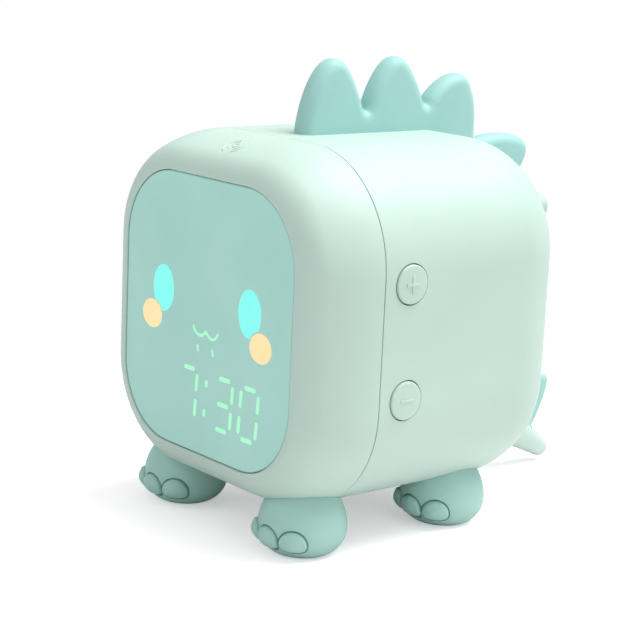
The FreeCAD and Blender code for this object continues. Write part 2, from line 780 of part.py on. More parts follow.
guideEnd = panelBack + v("guideThick")
node("display_mask", formed("light_mask_form", lightMask()))
node("eye_light_guides", formed("eye_guides_form", Part.makeCompound(eyes(0, panelBack, guideEnd))))
node("cheek_light_guides", formed("cheek_guides_form", Part.makeCompound(cheeks(0, panelBack, guideEnd))))
node("mouth_light_guides", formed("mouth_guides_form", Part.makeCompound(mouth(0, panelBack, guideEnd))))
node("digit_light_guides", formed("digit_guides_form", Part.makeCompound(strokes(0, panelBack, guideEnd))))

boardBack = boardFront + v("boardThick")


def displayBoard():
    board = panelBar(v("boardInset"), boardFront, boardBack)
    reach = v("boardEar")
    wide = v("earWide")
    thick = v("boardThick")
    ears = [
        Part.makeBox(2 * reach, thick, wide, Vector(-reach, boardFront, middle - wide / 2)),
        Part.makeBox(wide, thick, 2 * reach, Vector(-wide / 2, boardFront, middle - reach)),
    ]
    drill = v("smallScrew") + v("screwGap")
    holes = [cylinder(drill, x, boardFront - 1, z, (0, 1, 0), v("boardThick") + 2) for x, z in earSpots]
    lamps = []
    for side in (1, -1):
        for x, z in ((v("eyeX"), v("eyeRise")), (v("cheekX"), -v("cheekDrop"))):
            lampFront = boardFront - v("ledTall")
            lamps.append(bar(side * x, z, v("ledSize"), v("ledSize"), 0, 0, lampFront, boardFront))
    return board.fuse(ears + lamps).cut(holes).removeSplitter()


node("display_board", formed("display_board_form", displayBoard()))

# Keys: a cap with an eased edge, a flange that holds it in and a stem, with a raised sign on its face.
capFace = "bodyWidth / 2 + keyProud"
capDepth = "(keyProud + wall + flangeGap)"
keyRise = {"upper": "bodyRise + upperKeyRise", "lower": "bodyRise - lowerKeyDrop"}
keyLine = "seamDepth - bodyDepth / 2 + keySeam"


# An end on the key's axis: how far in from the cap's face it starts, on the right (1) or the left (-1).
def onKey(side, depth):
    sign = "" if side > 0 else "-1 * "
    return sign + "(" + capFace + " - (" + depth + "))"


def keyCap(name, side, level, signs):
    inward = "-x" if side > 0 else "x"
    rise = keyRise[level]
    crown = doc.addObject("Part::Cone", name + "_crown")
    bind(crown, Radius1="keyRadius - keyCrown", Radius2="keyRadius", Height="keyCrown")
    crown.Placement = FreeCAD.Placement(Vector(), turns[inward])
    place(crown, onKey(side, "0"), keyLine, rise)
    cap = rod(
        name + "_cap", "keyRadius", capDepth + " - keyCrown", onKey(side, "keyCrown"), keyLine, rise, inward)
    under = onKey(side, capDepth)
    flange = rod(name + "_flange", "flangeRadius", "flangeThick", under, keyLine, rise, inward)
    stem = rod(name + "_stem", "stemRadius", "stemLength + flangeThick", under, keyLine, rise, inward)
    return node(name, fuse(name + "_whole", crown, cap, flange, stem, *signs))


# A raised bar on a key's face.
def keyBar(name, side, level, along, tall):
    x = capFace + " - signTall" if side > 0 else "-(" + capFace + " + signTall)"
    y = keyLine + " - (" + along + ") / 2"
    z = keyRise[level] + " - (" + tall + ") / 2"
    return box(name, "2 * signTall", along, tall, x, y, z)


plusSigns = [
    keyBar("plus_bar", 1, "upper", "signLength", "signWide"),
    keyBar("plus_stroke", 1, "upper", "signWide", "signLength"),
]
keyCap("plus_key", 1, "upper", plusSigns)
keyCap("minus_key", 1, "lower", [keyBar("minus_bar", 1, "lower", "signLength", "signWide")])
signFoot = onKey(-1, "signTall")
ringOuter = rod("set_ring_outer", "signLength / 2", "2 * signTall", signFoot, keyLine, keyRise["upper"], "-x")
ringInner = rod(
    "set_ring_inner", "signLength / 2 - signWide", "4 * signTall", signFoot, keyLine, keyRise["upper"], "-x")
keyCap("set_key", -1, "upper", [cut("set_ring", ringOuter, ringInner)])
alarmDot = rod("alarm_dot", "signLength / 3", "2 * signTall", signFoot, keyLine, keyRise["lower"], "-x")
keyCap("alarm_key", -1, "lower", [alarmDot, keyBar("alarm_bar", -1, "lower", "signLength", "signWide")])

stemEnd = capDepth + " + flangeThick + stemLength"
boardFace = stemEnd + " + plungerOut + switchTall"
sideName = {1: "right", -1: "left"}
keyNames = {(1, "upper"): "plus", (1, "lower"): "minus", (-1, "upper"): "set", (-1, "lower"): "alarm"}


def onSide(side, depth, thick):
    if side > 0:
        return capFace + " - (" + depth + ") - (" + thick + ")"
    return "-(" + capFace + ") + (" + depth + ")"


for side in (1, -1):
    housings = []
    inward = "-x" if side > 0 else "x"
    for level in ("upper", "lower"):
        name = keyNames[(side, level)]
        rise = keyRise[level]
        plunger = rod(
            name + "_pin", "plungerRadius", "plungerOut + plungerIn", onKey(side, stemEnd), keyLine, rise,
            inward)
        node(name + "_switch_plunger", group(name + "_plunger", plunger))
        housing = box(
            name + "_housing", "switchTall", "switchSize", "switchSize",
            onSide(side, stemEnd + " + plungerOut", "switchTall"),
            keyLine + " - switchSize / 2", rise + " - switchSize / 2")
        bore = rod(
            name + "_bore", "plungerRadius + plungerGap", "plungerIn + plungerRoom + plungerOut",
            onKey(side, stemEnd), keyLine, rise, inward)
        housings.append(cut(name + "_switch", housing, bore))
    node(sideName[side] + "_switches", group(sideName[side] + "_switch_pair", *housings))
    board = box(
        sideName[side] + "_board_plate", "keyBoardThick", "keyBoardWide", "keyBoardTall",
        onSide(side, boardFace, "keyBoardThick"),
        keyLine + " + keyBoardShift - keyBoardWide / 2", "bodyRise - keyBoardTall / 2")
    drills = [
        rod(
            sideName[side] + "_board_hole_" + word, "smallScrew + screwGap", "3 * keyBoardThick",
            onKey(side, boardFace + " - keyBoardThick"), keyLine + " + keyPostBack",
            "bodyRise " + sign + " keyPostRise", inward)
        for word, sign in (("up", "+"), ("down", "-"))
    ]
    node(sideName[side] + "_key_board", cut(sideName[side] + "_board", board, *drills))


# Feet: a turned bulb with a flat sole, three toes with a groove round each, trimmed by the body above.
footBody = newBody("foot_bulb")
footSketch = newSketch(footBody, "foot_profile", "XZ_Plane")
belly = v("footBelly")
sole = v("soleRadius")
widest = v("footRadius")
lowRadius = (belly ** 2 + (widest - sole) ** 2) / (2 * (widest - sole))
lowTurn = math.asin(belly / lowRadius)
highTurn = math.asin((v("footTall") - belly) / v("footShoulder"))
highRun = widest - v("footShoulder") * (1 - math.cos(highTurn))
flat = Vector(0, 0, 1)
lowArc = Part.ArcOfCircle(Part.Circle(Vector(widest - lowRadius, belly, 0), flat, lowRadius), -lowTurn, 0)
highArc = Part.ArcOfCircle(
    Part.Circle(Vector(widest - v("footShoulder"), belly, 0), flat, v("footShoulder")), 0, highTurn)
footSketch.addGeometry(Part.LineSegment(Vector(0, 0, 0), Vector(sole, 0, 0)), False)
footSketch.addGeometry(lowArc, False)
footSketch.addGeometry(highArc, False)
crown = Vector(0, v("footTall"), 0)
footSketch.addGeometry(Part.LineSegment(Vector(highRun, v("footTall"), 0), crown), False)
footSketch.addGeometry(Part.LineSegment(crown, Vector(0, 0, 0)), False)
chain(footSketch, 5)
constrain(footSketch, "Coincident", 0, 1, -1, 1)
constrain(footSketch, "Horizontal", 0)
constrain(footSketch, "Vertical", 4)
constrain(footSketch, "Horizontal", 3)
constrain(footSketch, "Horizontal", 1, 3, 1, 2)
constrain(footSketch, "Horizontal", 2, 3, 2, 1)
measure(footSketch, "sole", "soleRadius", "DistanceX", -1, 1, 0, 2)
measure(footSketch, "widest", "footRadius", "DistanceX", -1, 1, 1, 2)
measure(footSketch, "belly", "footBelly", "DistanceY", -1, 1, 1, 2)
measure(footSketch, "shoulder", "footShoulder", "Radius", 2)
measure(footSketch, "tall", "footTall", "DistanceY", -1, 1, 3, 2)
turned(footBody, footSketch)


# One toe as an ellipsoid, grown for the groove that is cut round it.
def toe(name, turn, grow):
    item = doc.addObject("Part::Ellipsoid", name)
    angle = "(" + str(turn) + " * toeAngle)"
    bind(item, Radius1="toeTall" + grow, Radius2="toeWide" + grow, Radius3="toeDeep" + grow)
    item.Angle1 = -90
    item.Angle2 = 90
    item.Placement = FreeCAD.Placement(Vector(), FreeCAD.Rotation(Vector(0, 0, 1), turn * v("toeAngle")))
    return place(item, "toeOut * sin(" + angle + " * 1deg)", "-toeOut * cos(" + angle + " * 1deg)", "toeRise")


toes = [toe("toe_" + str(turn + 2), turn, "") for turn in (-1, 0, 1)]
grooves = fuse(
    "toe_grooves", *[toe("groove_" + str(turn + 2), turn, " + toeGroove") for turn in (-1, 0, 1)])
core = rod("groove_core", "grooveFloor", "footTall", "0", "0", "0")
bulb = cut("grooved_bulb", footBody, cut("toe_groove_rings", grooves, core))
footForm = fuse("toed_foot", bulb, *toes)
footSide = "bodyWidth / 2 - footIn"
footRun = "(cornerRadius - footIn)"
seatRise = (
    "bodyRise - bodyHeight / 2 + cornerRadius"
    " - sqrt(cornerRadius * cornerRadius - " + footRun + " * " + footRun + ") + wall + padTall")
footPlaces = {
    "front_left": ("-(" + footSide + ")", "frontFootIn - bodyDepth / 2"),
    "front_right": (footSide, "frontFootIn - bodyDepth / 2"),
    "rear_left": ("-(" + footSide + ")", "bodyDepth / 2 - rearFootIn"),
    "rear_right": (footSide, "bodyDepth / 2 - rearFootIn"),
}


def screw(name, shank, length, head, headTall, x, y, z, along, back, headX, headY, headZ):
    pin = rod(name + "_shank", shank, length, x, y, z, along)
    cap = rod(name + "_head", head, headTall, headX, headY, headZ, back)
    return fuse(name, pin, cap)


trimScrews = []
for name, (x, y) in footPlaces.items():
    placed = group(name + "_foot_placed", footForm)
    place(placed, x, y, "0")
    hole = rod(
        name + "_foot_hole", "screwRadius + screwGap", "2 * trimScrew", x, y,
        seatRise + " - trimScrew - holeRoom / 2")
    trimmed = cut(name + "_foot_cut", placed, bodyForm, hole)
    node(name + "_foot", trimmed)
    trimScrews.append(screw(
        name + "_screw", "screwRadius", "trimScrew", "screwHead", "headTall",
        x, y, seatRise, "-z", "z", x, y, seatRise))


# A closed outline in the plane x = 0 that runs over circles. Each has a centre (y, z) and a radius, which is
# negative where the outline passes the circle on its other side, as in a valley.
def overCircles(circles, close):
    touch = []
    for index in range(len(circles) - 1):
        ay, az, ar = circles[index]
        by, bz, br = circles[index + 1]
        run = math.hypot(by - ay, bz - az)
        turn = math.atan2(bz - az, by - ay) + math.asin((br - ar) / run)
        side = Vector(0, math.sin(turn), -math.cos(turn))
        first = Vector(0, ay, az) - side * ar
        second = Vector(0, by, bz) - side * br
        touch.append((first, second, side))
    edges = []
    for index, (first, second, side) in enumerate(touch):
        edges.append(Part.LineSegment(first, second).toShape())
        if index + 1 < len(touch):
            y, z, radius = circles[index + 1]
            bisector = (side + touch[index + 1][2]).normalize()
            on = Vector(0, y, z) - bisector * radius
            edges.append(Part.Arc(second, on, touch[index + 1][0]).toShape())
    corners = [touch[-1][1]] + [Vector(0, y, z) for y, z in close] + [touch[0][0]]
    outline = len(edges)
    for index in range(len(corners) - 1):
        edges.append(Part.LineSegment(corners[index], corners[index + 1]).toShape())
    return edges, outline


# A blade of that outline, centred on x = 0, with its free edges rounded.
def blade(circles, close, thick, rounding):
    edges, outline = overCircles(circles, close)
    shift = Vector(-thick / 2, 0, 0)
    face = Part.Face(Part.Wire(edges))
    face.translate(shift)
    solid = face.extrude(Vector(thick, 0, 0))
    free = []
    for edge in edges[:outline]:
        middlePoint = edge.valueAt((edge.FirstParameter + edge.LastParameter) / 2)
        for candidate in solid.Edges:
            if abs(candidate.BoundBox.XLength) > 0.001:
                continue
            own = candidate.valueAt((candidate.FirstParameter + candidate.LastParameter) / 2)
            if math.hypot(own.y - middlePoint.y, own.z - middlePoint.z) < 0.01:
                free.append(candidate)
    return solid.makeFillet(rounding, free)


# One round of a spike, its tip or its shoulder.
def spikeRound(name):
    return (back - v(name + "Back"), top + v(name + "Rise"), v(name))


# The valley circle between two spikes, at a turn round the rounded back's corner or above the flat top.
def cornerValley(turn):
    reach = v("rearRadius") + v("webOut") + v("valleyRadius")
    y = back - v("rearRadius") + reach * math.cos(math.radians(turn))
    z = top - v("rearRadius") + reach * math.sin(math.radians(turn))
    return (y, z, -v("valleyRadius"))


def topValley(before, after):
    y = (before[0] + after[0]) / 2
    return (y, top + v("webOut") + v("valleyRadius") / 2, -v("valleyRadius"))


top = middle + v("bodyHeight") / 2


# Crest: five domed spikes in one blade that runs down over the back, each a tip over a wider shoulder.
def crestShape():
    tips = [spikeRound(name + "Tip") for name in ("first", "second", "third", "fourth", "fifth")]
    first, fourth, fifth = [spikeRound(name + "Shoulder") for name in ("first", "fourth", "fifth")]
    backValley = (back + v("webOut") + v("valleyRadius"), (fourth[1] + fifth[1]) / 2, -v("valleyRadius"))
    start = (back - v("crestFront"), top - wall, 0)
    end = (back - wall, top + v("crestEnd"), 0)
    circles = [
        start, first, tips[0], topValley(tips[0], tips[1]),
        tips[1], topValley(tips[1], tips[2]),
        tips[2], cornerValley(v("valleyTurn")),
        fourth, tips[3], fourth, backValley,
        fifth, tips[4], end,
    ]
    innerY = back - v("rearRadius")
    innerZ = top - v("rearRadius")
    within = v("rearRadius") / 4
    close = [(innerY, innerZ - within), (innerY - within, innerZ)]
    solid = blade(circles, close, v("crestThick"), v("crestRound"))
    return solid.cut(bodySolid).cut(crestHoles())


node("crest", formed("crest_form", crestShape()))
crestLines = ("bodyDepth / 2 - crestScrewFirst", "bodyDepth / 2 - crestScrewSecond")
for index, y in enumerate(crestLines):
    under = "bodyRise + bodyHeight / 2 - wall"
    trimScrews.append(screw(
        "crest_screw_%d" % index, "screwRadius", "trimScrew", "screwHead", "headTall",
        "0", y, under, "z", "-z", "0", y, under))

# Tail: a slim cone with a round tip, trimmed by the back of the body.
tailBody = newBody("tail_cone")
tailSketch = newSketch(tailBody, "tail_profile", "XZ_Plane")
root = v("tailRoot")
tipRadius = v("tailTip")
run = v("tailLength") - tipRadius
lean = math.atan((root - tipRadius) / run)
joinPoint = Vector(tipRadius * math.cos(lean), run + tipRadius * math.sin(lean), 0)
tailSketch.addGeometry(Part.LineSegment(Vector(0, 0, 0), Vector(root, 0, 0)), False)
tailSketch.addGeometry(Part.LineSegment(Vector(root, 0, 0), joinPoint), False)
tipCircle = Part.Circle(Vector(0, run, 0), flat, tipRadius)
tailSketch.addGeometry(Part.ArcOfCircle(tipCircle, lean, math.pi / 2), False)
tailSketch.addGeometry(Part.LineSegment(Vector(0, v("tailLength"), 0), Vector(0, 0, 0)), False)
constrain(tailSketch, "Coincident", 0, 2, 1, 1)
constrain(tailSketch, "Tangent", 1, 2, 2, 1)
constrain(tailSketch, "Coincident", 2, 2, 3, 1)
constrain(tailSketch, "Coincident", 3, 2, 0, 1)
constrain(tailSketch, "Coincident", 0, 1, -1, 1)
constrain(tailSketch, "Horizontal", 0)
constrain(tailSketch, "Vertical", 3)
constrain(tailSketch, "PointOnObject", 2, 3, -2)
measure(tailSketch, "root", "tailRoot", "DistanceX", -1, 1, 0, 2)
measure(tailSketch, "tip", "tailTip", "Radius", 2)
measure(tailSketch, "length", "tailLength", "DistanceY", -1, 1, 2, 2)
turned(tailBody, tailSketch)
tailBody.Placement = FreeCAD.Placement(Vector(), FreeCAD.Rotation(Vector(1, 0, 0), -90 - v("tailTilt")))
place(tailBody, "0", "bodyDepth / 2 - tailSink", "bodyRise + tailRise")
tailHole = rod(
    "tail_hole", "screwRadius + screwGap", "trimScrew + 5 * screwGap", "0", "bodyDepth / 2 - wall",
    "bodyRise + tailScrewRise", "y")
node("tail", cut("tail_cut", tailBody, bodyForm, tailHole))
trimScrews.append(screw(
    "tail_screw", "screwRadius", "trimScrew", "screwHead", "headTall",
    "0", "bodyDepth / 2 - wall", "bodyRise + tailScrewRise", "y", "-y",
    "0", "bodyDepth / 2 - wall", "bodyRise + tailScrewRise"))
node("trim_screws", group("trim_screw_set", *trimScrews))
doc.recompute()


# Fin on the tail: two small spikes that stand on its upper side.
def tailFin():
    tilt = math.radians(v("tailTilt"))
    rootY = back - v("tailSink")
    rootZ = middle + v("tailRise")
    along = Vector(0, math.cos(tilt), -math.sin(tilt))
    up = Vector(0, math.sin(tilt), math.cos(tilt))

    def at(reach, out):
        spot = Vector(0, rootY, rootZ) + along * v(reach) + up * v(out)
        return spot.y, spot.z

    circles = [
        at("finStart", "finFoot") + (0,),
        at("finFirst", "finOut") + (v("finFirstTip"),),
        at("finDip", "finDipOut") + (-v("finDipRadius"),),
        at("finSecond", "finOut") + (v("finSecondTip"),),
        at("finEnd", "finFoot") + (0,),
    ]
    solid = blade(circles, [], v("tailFinThick"), v("tailFinRound"))
    cone = tailBody.Shape.copy()
    return solid.cut(cone).cut(bodySolid)


node("tail_fin", formed("tail_fin_form", tailFin()))

# Rechargeable cell in its cradle on the bottom wall.
cellMid = "bodyRise - cellDrop"
cell = rod("cell_can", "cellRadius", "cellLength", "-cellLength / 2", "cellY", cellMid, "x")
node("battery_cell", group("cell", cell))
floorRise = "bodyRise - bodyHeight / 2 + wall"
trough = box(
    "cradle_trough", "cellLength + 2 * cradleWall", "2 * (cellRadius + cradleWall)", "cellRadius",
    "-cellLength / 2 - cradleWall", "cellY - cellRadius - cradleWall",
    cellMid + " - cellRadius - cradleWall / 2")
pedestal = box(
    "cradle_foot", "cradleBase", "2 * cellRadius", "bodyHeight / 2 - wall - cellDrop - cellRadius / 2",
    "-cradleBase / 2", "cellY - cellRadius", floorRise)
bed = rod(
    "cradle_bed", "cellRadius + fitGap", "cellLength + 2 * fitGap", "-cellLength / 2 - fitGap", "cellY",
    cellMid, "x")
hollowForm = formed("hollow_form", hollow)
cradle = cut("cradle_bedded", fuse("cradle_block", trough, pedestal), bed)
node("battery_cradle", common("cradle_trimmed", cradle, hollowForm))

# Main board on four posts, with the charging port on it.
mainTop = "bodyRise - mainDrop"
mainPlate = box(
    "main_plate", "mainWide", "mainDeep", "boardThick", "-mainWide / 2",
    "bodyDepth / 2 - wall - mainBack - mainDeep", mainTop + " - boardThick")
mainDrills = []
boardScrews = []
for side in (1, -1):
    for end in (1, -1):
        name = "main_%s_%s" % ("right" if side > 0 else "left", "back" if end > 0 else "front")
        x = "%d * mainPostX" % side
        y = "bodyDepth / 2 - wall - mainBack - mainDeep / 2 + %d * (mainDeep / 2 - mainPostY)" % end
        mainDrills.append(rod(
            name + "_hole", "smallScrew + screwGap", "3 * boardThick", x, y, mainTop + " + boardThick", "-z"))
        boardScrews.append(screw(
            name + "_screw", "smallScrew", "boardThick + smallBite", "smallHead", "smallHeadTall",
            x, y, mainTop, "-z", "z", x, y, mainTop))
node("main_board", cut("main_board_drilled", mainPlate, *mainDrills))


# Charging port: a flat-sided metal tube round a tongue.
def chargingPort():
    y1 = back - v("portSink")
    y0 = y1 - v("portDeep")
    tube = portHole(0, y0, y1).cut(portHole(-v("portWall"), y0 + 1, y1 + 1))
    tongue = Part.makeBox(
        v("portWide") * 0.7, v("portDeep") - 1.5, v("portWall") * 2,
        Vector(v("portX") - v("portWide") * 0.35, y0 + 0.5, middle + portRise - v("portWall")))
    return tube.fuse(tongue).removeSplitter()


node("charging_port", formed("charging_port_form", chargingPort()))

# Speaker behind its sound holes, held by a ring.
speakerAt = ("-speakerX", "bodyDepth / 2 - wall", "bodyRise + speakerRise")
flangeDisc = rod("speaker_flange", "speakerRadius", "speakerDeep / 6", *speakerAt, "-y")
basket = doc.addObject("Part::Cone", "speaker_basket")
bind(basket, Radius1="speakerRadius - ringWide / 2", Radius2="magnetRadius", Height="speakerDeep * 2 / 3")
basket.Placement = FreeCAD.Placement(Vector(), turns["-y"])
place(basket, *speakerAt)
magnet = rod("speaker_magnet", "magnetRadius", "speakerDeep", *speakerAt, "-y")
node("speaker", fuse("speaker_whole", flangeDisc, basket, magnet))
ringDisc = rod("ring_disc", "speakerRadius + ringWide", "speakerDeep / 3", *speakerAt, "-y")
ringRoom = rod("ring_room", "speakerRadius + fitGap", "speakerDeep / 6", *speakerAt, "-y")
ringBore = rod("ring_bore", "speakerRadius - ringWide / 2 + fitGap", "speakerDeep", *speakerAt, "-y")
node("speaker_ring", common("ring_trimmed", cut("ring_cut", ringDisc, ringRoom, ringBore), hollowForm))

# Touch foil on the inside of the front shell, under the mark on the top.
foilBack = seam - v("lipLength") - v("holeRoom")
foilLow = Vector(-v("touchWide") / 2, foilBack - v("touchDeep"), middle)
foilBox = Part.makeBox(v("touchWide"), v("touchDeep"), v("bodyHeight") / 2, foilLow)
foil = innerFront.cut(frontForm(wall + v("touchThick"))).common(foilBox)
node("touch_foil", formed("touch_foil_form", foil))


# Screws of the shells, which go in from the back, and of the boards.
shellScrews = []
bossLine = "panelSink + panelThick + ledgeThick + bossReach - bodyDepth / 2"
for side in (1, -1):
    for end in (1, -1):
        name = "shell_screw_%s_%s" % ("right" if side > 0 else "left", "upper" if end > 0 else "lower")
        x = "%d * (bodyWidth / 2 - postIn)" % side
        z = "bodyRise + %d * (bodyHeight / 2 - postDown)" % end
        y = bossLine + " + postFloor"
        shellScrews.append(screw(
            name, "screwRadius", "postFloor + trimScrew", "screwHead", "headTall",
            x, y, z, "-y", "y", x, y, z))
    for end in (1, -1):
        name = "key_board_screw_%s_%s" % ("right" if side > 0 else "left", "upper" if end > 0 else "lower")
        outward = "x" if side > 0 else "-x"
        inward = "-x" if side > 0 else "x"
        x = onKey(side, boardFace + " + keyBoardThick")
        y = keyLine + " + keyPostBack"
        z = "bodyRise + %d * keyPostRise" % end
        boardScrews.append(screw(
            name, "smallScrew", "keyBoardThick + smallBite", "smallHead", "smallHeadTall",
            x, y, z, outward, inward, x, y, z))
boardLine = "panelSink + panelThick + maskThick + boardThick - bodyDepth / 2"
earLines = (("earReach", "0"), ("-earReach", "0"), ("0", "earReach"), ("0", "-earReach"))
for index, (x, z) in enumerate(earLines):
    rise = "bodyRise + (" + z + ")"
    boardScrews.append(screw(
        "ear_screw_%d" % index, "smallScrew", "boardThick + maskThick - ledgeThick", "smallHead",
        "smallHeadTall", x, boardLine, rise, "-y", "y", x, boardLine, rise))
node("shell_screws", group("shell_screw_set", *shellScrews))
node("board_screws", group("board_screw_set", *boardScrews))

doc.recompute()
for item in doc.Objects:
    for state in ("Invalid", "Error"):
        if state in item.State:
            raise RuntimeError("%s is %s" % (item.Label, state))
for item in nodes:
    if item.Shape.isNull() or not item.Shape.isValid():
        raise RuntimeError("%s has no sound shape" % item.Label)
    print(item.Label, len(item.Shape.Solids), "solids", round(item.Shape.Volume), "mm3")
os.makedirs("parts", exist_ok=True)
for item in nodes:
    item.Shape.exportStep("parts/%s.step" % item.Label)
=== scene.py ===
import json
import math
import bmesh
import bpy
from mathutils import Matrix, Vector


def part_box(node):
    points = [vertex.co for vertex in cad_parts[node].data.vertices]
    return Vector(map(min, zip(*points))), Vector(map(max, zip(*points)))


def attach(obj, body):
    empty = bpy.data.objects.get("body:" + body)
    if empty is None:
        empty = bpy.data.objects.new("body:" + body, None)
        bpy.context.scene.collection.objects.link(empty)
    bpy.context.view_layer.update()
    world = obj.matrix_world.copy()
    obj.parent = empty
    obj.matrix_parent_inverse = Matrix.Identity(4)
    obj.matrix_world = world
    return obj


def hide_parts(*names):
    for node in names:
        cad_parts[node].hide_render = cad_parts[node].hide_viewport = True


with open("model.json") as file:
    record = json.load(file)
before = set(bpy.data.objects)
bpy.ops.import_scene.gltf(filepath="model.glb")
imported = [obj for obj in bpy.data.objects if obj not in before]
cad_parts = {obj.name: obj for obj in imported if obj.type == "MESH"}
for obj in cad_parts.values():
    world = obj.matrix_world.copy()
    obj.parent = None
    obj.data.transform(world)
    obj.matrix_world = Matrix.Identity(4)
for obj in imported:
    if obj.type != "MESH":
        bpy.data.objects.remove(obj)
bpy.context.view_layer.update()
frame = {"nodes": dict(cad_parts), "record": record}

# Kids' alarm clock with a night light: mint shells, crest, toed feet, lit face and digits.
# Metres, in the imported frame: X right, Y back, Z up. mm turns millimetres into metres.
mm = 0.001

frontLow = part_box("front_shell")[0]
rearLow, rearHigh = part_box("rear_shell")
panelLow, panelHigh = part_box("front_panel")
bodyMid = Vector((0.0, (frontLow[1] + rearHigh[1]) / 2, (rearLow[2] + rearHigh[2]) / 2))
bodyHalf = Vector((rearHigh[0], (rearHigh[1] - frontLow[1]) / 2, (rearHigh[2] - rearLow[2]) / 2))

# Half sizes of the body and the floor's height from its middle, in millimetres
halfX = bodyHalf.x / mm
halfY = bodyHalf.y / mm
halfZ = bodyHalf.z / mm
floorZ = -bodyMid.z / mm

# Edges that turn further than this stay crisp. Profiles end this close to their axis.
sharpTurn = 38.0
onAxis = 0.001


# sRGB written as on a colour picker, turned into Blender's linear colour
def colour(red, green, blue):
    parts = []
    for part in (red, green, blue):
        part = part / 255
        parts.append(part / 12.92 if part <= 0.04045 else ((part + 0.055) / 1.055) ** 2.4)
    return (*parts, 1.0)


def newMaterial(name):
    material = bpy.data.materials.new(name)
    material.use_nodes = True
    nodes = material.node_tree.nodes
    return material, nodes, material.node_tree.links, nodes["Principled BSDF"]


# A noise laid out in the object's own coordinates
def addNoise(nodes, links, place, scale, detail=2.0):
    noise = nodes.new("ShaderNodeTexNoise")
    noise.inputs["Scale"].default_value = scale
    noise.inputs["Detail"].default_value = detail
    links.new(place, noise.inputs["Vector"])
    return noise


# Two tones that follow a noise, from one value of it to another
def addTones(nodes, links, noise, socket, dark, light, first=0.0, last=1.0):
    tones = nodes.new("ShaderNodeValToRGB")
    low, high = tones.color_ramp.elements
    low.position = first
    low.color = colour(*dark)
    high.position = last
    high.color = colour(*light)
    links.new(noise.outputs["Fac"], tones.inputs["Fac"])
    links.new(tones.outputs["Color"], socket)


plasticLook = {
    "cloudScale": 38.0, "cloudDetail": 3.0, "darkUpTo": 0.32, "lightFrom": 0.68, "roughSpread": 0.04,
    "bump": 0.25, "bumpReach": 20.0, "specular": 0.35, "scatter": (0.004, 0.006, 0.005), "scatterScale": 0.5,
}


# Moulded plastic: two close tones mixed by slow cloud noise, a fine spark-eroded grain
# and soft changes of roughness
def mouldedPlastic(name, light, dark, rough, grain=0.0012, grainScale=5200.0, subsurface=0.0):
    look = plasticLook
    material, nodes, links, shader = newMaterial(name)
    place = nodes.new("ShaderNodeTexCoord").outputs["Object"]
    cloud = addNoise(nodes, links, place, look["cloudScale"], look["cloudDetail"])
    baseColour = shader.inputs["Base Color"]
    addTones(nodes, links, cloud, baseColour, dark, light, look["darkUpTo"], look["lightFrom"])
    speckle = addNoise(nodes, links, place, grainScale)
    roughness = nodes.new("ShaderNodeMapRange")
    roughness.inputs["To Min"].default_value = rough - look["roughSpread"]
    roughness.inputs["To Max"].default_value = rough + look["roughSpread"]
    links.new(cloud.outputs["Fac"], roughness.inputs["Value"])
    links.new(roughness.outputs["Result"], shader.inputs["Roughness"])
    bump = nodes.new("ShaderNodeBump")
    bump.inputs["Strength"].default_value = look["bump"]
    bump.inputs["Distance"].default_value = grain * mm * look["bumpReach"]
    links.new(speckle.outputs["Fac"], bump.inputs["Height"])
    links.new(bump.outputs["Normal"], shader.inputs["Normal"])
    shader.inputs["Specular IOR Level"].default_value = look["specular"]
    if subsurface:
        shader.inputs["Subsurface Weight"].default_value = subsurface
        shader.inputs["Subsurface Radius"].default_value = look["scatter"]
        shader.inputs["Subsurface Scale"].default_value = look["scatterScale"]
    return material


# A lit figure: a thin diffusing skin with a faintly uneven glow
def litFigure(name, glow, dim):
    material, nodes, links, shader = newMaterial(name)
    place = nodes.new("ShaderNodeTexCoord").outputs["Object"]
    spread = addNoise(nodes, links, place, 160.0)
    addTones(nodes, links, spread, shader.inputs["Emission Color"], dim, glow, 0.3, 0.7)
    shader.inputs["Base Color"].default_value = (0.02, 0.03, 0.03, 1.0)
    shader.inputs["Emission Strength"].default_value = 1.0
    shader.inputs["Roughness"].default_value = 0.5
    shader.inputs["Specular IOR Level"].default_value = 0.1
    return material


# Metal: brushed or rolled, with streaks along one direction
def rolledMetal(name, light, dark, rough, stretch):
    material, nodes, links, shader = newMaterial(name)
    mapping = nodes.new("ShaderNodeMapping")
    mapping.inputs["Scale"].default_value = stretch
    links.new(nodes.new("ShaderNodeTexCoord").outputs["Object"], mapping.inputs["Vector"])
    streak = addNoise(nodes, links, mapping.outputs["Vector"], 300.0)
    addTones(nodes, links, streak, shader.inputs["Base Color"], dark, light)
    shader.inputs["Metallic"].default_value = 1.0
    shader.inputs["Roughness"].default_value = rough
    return material


